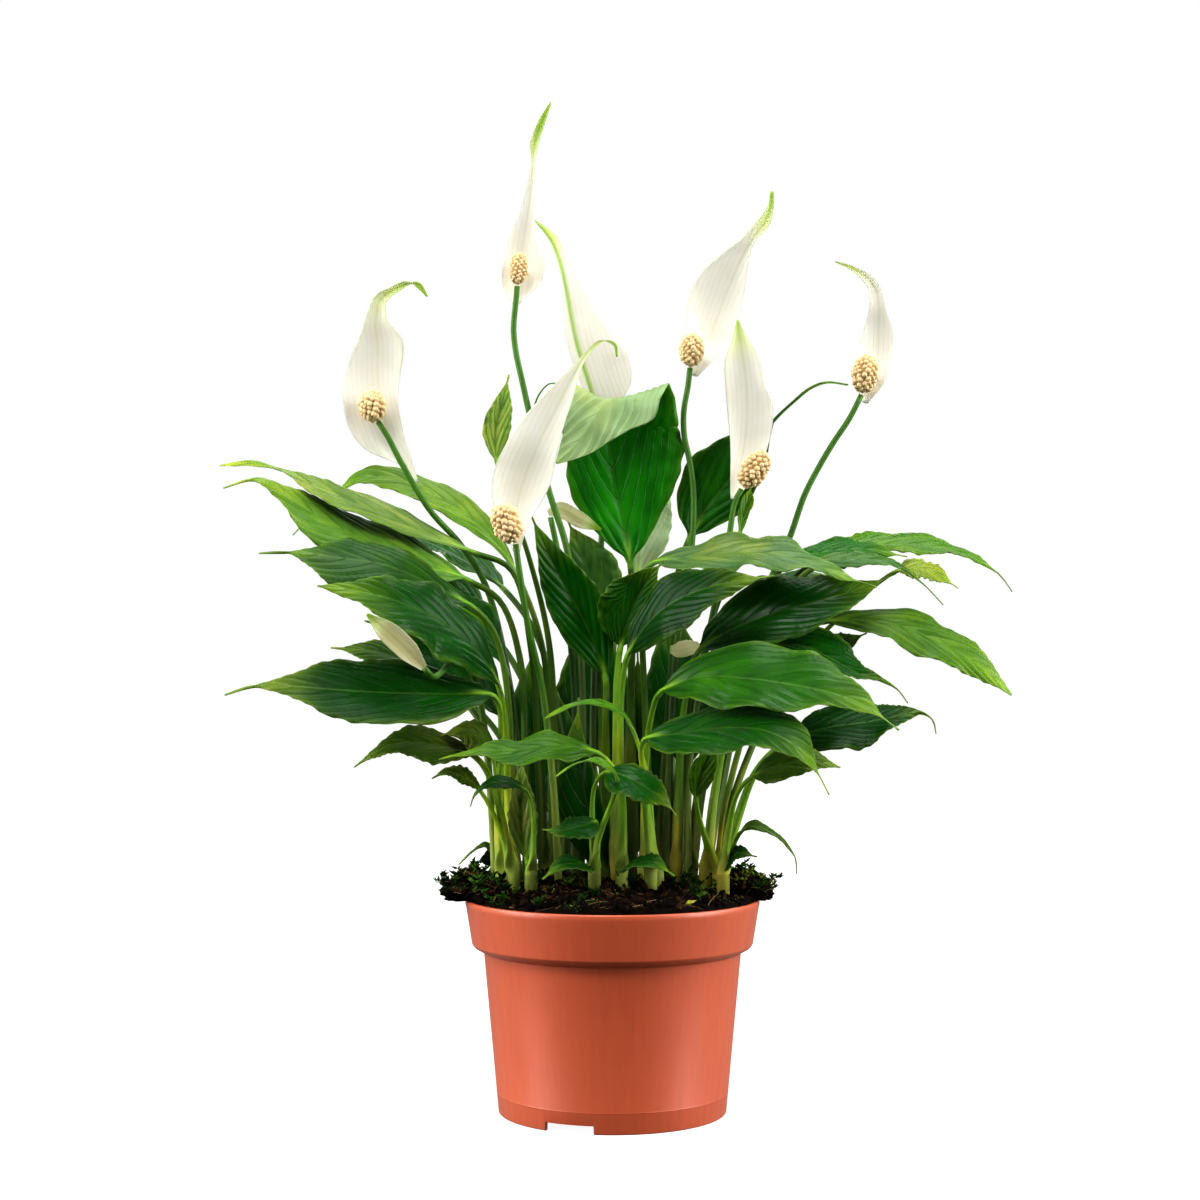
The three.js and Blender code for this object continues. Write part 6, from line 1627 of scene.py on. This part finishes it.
def litter_spot(draw, settings):
    """A random place on the soil or, more thickly, on a lump, mostly before its middle."""
    if draw.random() < ON_LUMPS["share"]:
        lump = draw.choice(LUMPS)
        way = unit(np.array([draw.gauss(0, 1), draw.gauss(0, 1) - 0.3, abs(draw.gauss(0, 1))]))
        at = np.array(lump["at"]) + way * lump["size"] * ON_LUMPS["out"]
        least = ON_LUMPS["least"]
        return at if at[2] > least else at + [0, 0, least - at[2] + draw.random()]
    angle, r = draw.uniform(0, 2 * math.pi), SOIL["radius"] * math.sqrt(draw.uniform(0.05, 1))
    x, y = r * math.cos(angle), r * math.sin(angle)
    return np.array([x, y, soil_height(x, y, settings)])


def strand(path, radius, sides=4):
    """A thin closed tube along the points of the path."""
    path = np.asarray(path)
    run = unit(np.gradient(path, axis=0))
    side = squared(run, np.broadcast_to([0.3, 0.2, 1.0], run.shape))
    up = np.cross(run, side)
    taper = np.linspace(1, 0.45, len(path))[:, None] * radius
    angles = np.linspace(0, 2 * np.pi, sides, endpoint=False)
    rings = [path + taper * (side * math.cos(a) + up * math.sin(a)) for a in angles]
    return loft(np.stack(rings, axis=1))


def spun(draw):
    """Three random axes square to each other."""
    return turned_to([draw.gauss(0, 1) for _ in range(3)])


# a moss leaflet: its points, one unit wide and long, and its faces over and under
LEAFLET = np.array([
    [0, 0, 0], [0.5, 0.3, 0.05], [1.6, 0, 0.5], [0.5, -0.3, 0.05], [0.6, 0, 0.25], [0.6, 0, -0.1],
])
LEAFLET_FACES = [
    [0, 1, 4], [1, 2, 4], [2, 3, 4], [3, 0, 4], [1, 0, 5], [2, 1, 5], [3, 2, 5], [0, 3, 5],
]
MOSS_GREENS = ["1c3a0a", "274a10", "32591a", "16300a", "4a7020"]
MOSS_YELLOWS = ["8a8a2a", "a89c3c", "6c7424"]
CARPET_GREENS = ["3c5a1c", "587a26", "2f4717", "8a9a3a"]
PEAT_BROWNS = ["0e0804", "180e08", "26170d", "3e2a19", "080403"]
FIBRE_BROWNS = ["7a5a38", "a8885c", "8a6a42", "4a3220"]


# middle and radius of the spot where the moss has turned yellow
YELLOWED = (55, -16, 8)
# a yellow scrap of leaf on the front edge of the soil: place, way it faces, sizes and colour
SCRAP = {"at": (30, -57.5, 97.5), "faces": (-0.2, -1, 0.7), "size": (5.0 / 1.6, 5.0 / 1.1, 1),
         "tone": "b4b04a"}
# leaves of a sprig, the turn between two of them, and their sizes
SPRIG = {"leaves": 14, "turn": 2.4, "sizes": (1.2, 2.4), "lean": 0.45, "stem": 0.3}
# front strip of the soil where most sprigs are left out, so that the peat shows
BARE = {"before": -24, "beside": 46, "share": 0.86}


def sprig(form, draw, at, tall):
    """One upright moss stem with leaflets all round."""
    yellow = np.hypot(at[0] - YELLOWED[0], at[1] - YELLOWED[1]) < YELLOWED[2]
    shade = np.array(colour(draw.choice(MOSS_YELLOWS if yellow else MOSS_GREENS)))
    lean = np.array([draw.gauss(0, SPRIG["lean"]), draw.gauss(0, SPRIG["lean"]), 1.0])
    t = np.linspace(0, 1, 6)[:, None]
    droop = np.array([lean[0], lean[1], -0.4])
    path = at - [0, 0, 1] + unit(lean) * tall * t + droop * tall * 0.5 * t ** 2
    form.add(*strand(path, SPRIG["stem"]), shade * 0.7)
    for k in range(SPRIG["leaves"]):
        spot = path[0] + (path[-1] - path[0]) * draw.uniform(0.15, 1)
        angle = SPRIG["turn"] * k
        turn = turned_to([math.cos(angle), math.sin(angle), draw.uniform(0.2, 0.9)])[[2, 0, 1]]
        leaflet = LEAFLET * draw.uniform(*SPRIG["sizes"]) @ turn + spot
        form.add(leaflet, LEAFLET_FACES, shade * draw.uniform(0.7, 1.3))


def scatter_crumbs(form, draw, settings):
    """Flat angular crumbs of peat in several browns."""
    chip, faces = ball(1)
    browns = [colour(c) for c in PEAT_BROWNS]
    for _ in range(settings.crumbs):
        at = litter_spot(draw, settings)
        size = draw.uniform(0.35, 1.0) ** 2 * 2.8
        shape = chip * [size, size * draw.uniform(0.4, 1), size * draw.uniform(0.3, 0.8)]
        shape = shape * (1 + 0.25 * np.array([[draw.uniform(-1, 1)] for _ in chip]))
        form.add(shape @ spun(draw) + at + [0, 0, size * 0.2], faces, draw.choice(browns))


def scatter_fibres(form, draw, settings):
    """Bent root fibres that lie on the soil."""
    for _ in range(settings.fibres):
        at = litter_spot(draw, settings)
        way = np.array([draw.uniform(-1, 1), draw.uniform(-1, 1), draw.uniform(-0.1, 0.5)])
        bend = np.array([draw.uniform(-1, 1), draw.uniform(-1, 1), draw.uniform(-0.6, 0.1)])
        length = draw.uniform(3, 11)
        t = np.linspace(0, 1, 7)[:, None]
        path = at + [0, 0, 0.6] + unit(way) * length * (t - 0.3) + bend * length * 0.5 * t ** 2
        shade = np.array(colour(draw.choice(FIBRE_BROWNS)))
        form.add(*strand(path, draw.uniform(0.1, 0.28)), shade)


def grow_moss(form, draw, settings):
    """A carpet of leaflets in tufts, upright sprigs, and a yellow scrap of leaf."""
    tufts = [litter_spot(draw, settings) for _ in range(60)]
    for _ in range(settings.moss):
        at = draw.choice(tufts) + [draw.gauss(0, 2.2), draw.gauss(0, 2.2), draw.uniform(0, 1.6)]
        shade = colour(draw.choice(CARPET_GREENS))
        size = draw.uniform(0.5, 1.2)
        form.add(LEAFLET * size @ spun(draw) + at, LEAFLET_FACES, shade)
    for _ in range(settings.sprigs):
        at = litter_spot(draw, settings)
        in_front = at[1] < BARE["before"] and abs(at[0]) < BARE["beside"]
        if in_front and draw.random() < BARE["share"]:
            continue
        tall = draw.uniform(5, 9) + 6 * smooth((at[1] + 20) / 50) * draw.random()
        sprig(form, draw, at, tall)
    scrap = LEAFLET * SCRAP["size"] @ turned_to(SCRAP["faces"]) + SCRAP["at"]
    form.add(scrap, LEAFLET_FACES, colour(SCRAP["tone"]))


class LILY_OT_litter(bpy.types.Operator):
    """Scatter crumbs, root fibres and moss over the soil"""

    bl_idname = "lily.litter"
    bl_label = "Crumbs, fibres and moss"

    def execute(self, context):
        settings = context.scene.lily_soil
        draw = random.Random(21)
        crumbs, fibres, moss = Form(), Form(), Form()
        scatter_crumbs(crumbs, draw, settings)
        crumbs.piece("peat_crumbs", "soil", litter_finish("peat_crumb", 0.9, 0.0004))
        scatter_fibres(fibres, draw, settings)
        fibres.piece("root_fibres", "soil", litter_finish("root_fibre", 0.8, 0.0002))
        grow_moss(moss, draw, settings)
        moss.piece("moss", "leaf", litter_finish("moss", 0.8, 0.0002))
        return {"FINISHED"}


# ---- the plant ----
class LILY_OT_leaves(bpy.types.Operator):
    """Grow every shoot: stalks and quilted blades"""

    bl_idname = "lily.leaves"
    bl_label = "Leaves"

    def execute(self, context):
        finish = context.scene.lily_plant.finish()
        material = leaf_finish()
        draw = random.Random(4)
        for node, leaves in SHOOTS.items():
            form = Form()
            own = OWN_TONES.get(node, [None] * len(leaves))
            for leaf, tone in zip(leaves, own):
                leaf_form(form, leaf, finish, draw, tone)
            form.piece(node + "_skin", "leaf", material, node)
        return {"FINISHED"}


# a dry thread that curls away from the tallest stem
THREAD = {
    "on": "bloom_1", "radius": 0.55, "sides": 8, "steps": 25,
    "path": [[-35.5, 9.5, 303], [-35, 8.5, 309], [-33, 8, 316], [-28, 8, 321.5], [-22, 8, 321]],
}


class LILY_OT_stems(bpy.types.Operator):
    """Draw the stems of the blooms and buds"""

    bl_idname = "lily.stems"
    bl_label = "Stems"

    def execute(self, context):
        finish = context.scene.lily_plant.finish()
        material = stem_finish()
        for name, bloom in BLOOMS.items():
            form = Form()
            stem_form(form, bloom, finish)
            if name == THREAD["on"]:
                path = Path(THREAD["path"]).at(np.linspace(0, 1, THREAD["steps"]))[0]
                form.add(*strand(path, THREAD["radius"], THREAD["sides"]), finish.stem)
            form.piece(name + "_stem_skin", "stem", material, name + "_stem")
        return {"FINISHED"}


class LILY_OT_spathes(bpy.types.Operator):
    """Unfold the white spathes"""

    bl_idname = "lily.spathes"
    bl_label = "Spathes"

    def execute(self, context):
        finish = context.scene.lily_plant.finish()
        fresh, spent = spathe_finish("spathe_white"), spathe_finish("spathe_spent")
        for name, bloom in BLOOMS.items():
            form = Form()
            spathe_form(form, bloom, SPATHE_LOOKS[name], finish)
            slot, material = ("spent_spathe", spent) if name == "bloom_8" else ("spathe", fresh)
            form.piece(name + "_spathe_skin", slot, material, name + "_spathe")
        return {"FINISHED"}


class LILY_OT_spadices(bpy.types.Operator):
    """Set the florets on every spadix"""

    bl_idname = "lily.spadices"
    bl_label = "Spadices"

    def execute(self, context):
        finish = context.scene.lily_plant.finish()
        material = spadix_finish()
        draw = random.Random(9)
        for name, bloom in BLOOMS.items():
            if "spadix" in bloom:
                form = Form()
                spadix_form(form, bloom["spadix"], finish, draw)
                form.piece(name + "_florets", "spadix", material, name + "_spadix")
        return {"FINISHED"}


# ---- the stage ----
LIGHTS = [
    # place, size, watts, spread in degrees, height of its aim
    ((-1.3, -0.3, 0.7), 1.2, 29, 180, 0.22),
    ((1.3, -0.3, 0.7), 1.2, 33, 180, 0.22),
    ((-1.1, -0.4, 0.05), 0.5, 3.5, 180, 0.1),
    ((1.1, -0.4, 0.05), 0.5, 3.5, 180, 0.1),
    ((0.3, 1.5, 0.8), 1.2, 9, 180, 0.22),
    ((-0.5, -1.2, 1.6), 0.6, 20, 180, 0.22),
    ((0.1, 0.1, 1.9), 1.2, 24, 180, 0.22),
    ((0.0, -1.3, 0.95), 0.35, 0.05, 25, 0.39),
]
# how the room's light grows from before the plant to behind it: from, to, dim, bright
ROOM = (-0.7, 0.5, 0.06, 0.34)
GAMMA = 0.85


def light_room(tree):
    """White to the eye; bright behind and beside the plant, dim above and before it."""
    add, join = tree.nodes.new, tree.links.new
    parts = add("ShaderNodeSeparateXYZ")
    join(add("ShaderNodeTexCoord").outputs["Generated"], parts.inputs[0])
    tall = add("ShaderNodeMath")
    tall.operation = "POWER"
    join(parts.outputs[2], tall.inputs[0])
    tall.inputs[1].default_value = 2
    back = add("ShaderNodeMath")
    back.operation = "SUBTRACT"
    join(parts.outputs[1], back.inputs[0])
    join(tall.outputs[0], back.inputs[1])
    fade = add("ShaderNodeMapRange")
    fade.interpolation_type = "SMOOTHSTEP"
    join(back.outputs[0], fade.inputs[0])
    for socket, value in zip(list(fade.inputs)[1:5], ROOM):
        socket.default_value = value
    seen = add("ShaderNodeMix")
    join(add("ShaderNodeLightPath").outputs["Is Camera Ray"], seen.inputs[0])
    join(fade.outputs[0], seen.inputs[2])
    seen.inputs[3].default_value = 1.0
    join(seen.outputs[0], tree.nodes["Background"].inputs["Strength"])
    tree.nodes["Background"].inputs["Color"].default_value = (1, 1, 1, 1)


class LILY_OT_stage(bpy.types.Operator):
    """Lay the floor and set the lights and the camera"""

    bl_idname = "lily.stage"
    bl_label = "Stage"

    def execute(self, context):
        settings = context.scene.lily_stage
        clear_selection()
        bpy.ops.mesh.primitive_plane_add(size=settings.floor, location=(0, 0, 0))
        floor = context.object
        floor.name = "floor"
        floor.data.materials.append(floor_finish())
        floor.visible_diffuse = floor.visible_glossy = False
        world = bpy.data.worlds.new("studio")
        world.use_nodes = True
        light_room(world.node_tree)
        context.scene.world = world
        for k, (at, size, watts, spread, aim_height) in enumerate(LIGHTS):
            bpy.ops.object.light_add(type="AREA", location=at)
            light = context.object
            light.name = f"softbox_{k}"
            light.data.size, light.data.energy = size, watts
            light.data.spread = math.radians(spread)
            aim = Vector((0, 0, aim_height)) - Vector(at)
            light.rotation_euler = aim.to_track_quat("-Z", "Y").to_euler()
        at = (EYE["across"] * MM, -EYE["away"] * MM, EYE["up"] * MM)
        bpy.ops.object.camera_add(location=at, rotation=(math.pi / 2 + settings.pitch, 0, 0))
        context.object.data.lens = settings.lens
        context.scene.camera = context.object
        context.scene.view_settings.view_transform = "Standard"
        context.scene.view_settings.gamma = GAMMA
        return {"FINISHED"}


class LILY_PT_panel(bpy.types.Panel):
    """Lists the pieces of the plant"""

    bl_idname = "LILY_PT_panel"
    bl_label = "Peace lily"
    bl_space_type = "VIEW_3D"
    bl_region_type = "UI"
    bl_category = "Peace lily"

    def draw(self, context):
        for maker in MAKERS:
            self.layout.operator(maker.bl_idname)
        for group in SETTINGS:
            for name in SETTINGS[group].__annotations__:
                self.layout.prop(getattr(context.scene, group), name)


MAKERS = [
    LILY_OT_stage, LILY_OT_pot, LILY_OT_soil, LILY_OT_litter, LILY_OT_leaves, LILY_OT_stems,
    LILY_OT_spathes, LILY_OT_spadices,
]
SETTINGS = {
    "lily_pot": PotSettings, "lily_plant": PlantSettings, "lily_soil": SoilSettings,
    "lily_stage": StageSettings,
}


def register():
    """Adds the settings, the makers and the panel to Blender."""
    for made in (*SETTINGS.values(), *MAKERS, LILY_PT_panel):
        bpy.utils.register_class(made)
    for name, group in SETTINGS.items():
        setattr(bpy.types.Scene, name, bpy.props.PointerProperty(type=group))


def unregister():
    """Takes them out again."""
    for name in SETTINGS:
        delattr(bpy.types.Scene, name)
    for made in (LILY_PT_panel, *MAKERS[::-1], *SETTINGS.values()):
        bpy.utils.unregister_class(made)


def main():
    """Builds every piece and the stage."""
    register()
    for maker in MAKERS:
        group, name = maker.bl_idname.split(".")
        getattr(getattr(bpy.ops, group), name)()
    clear_selection()


if __name__ == "__main__":
    main()
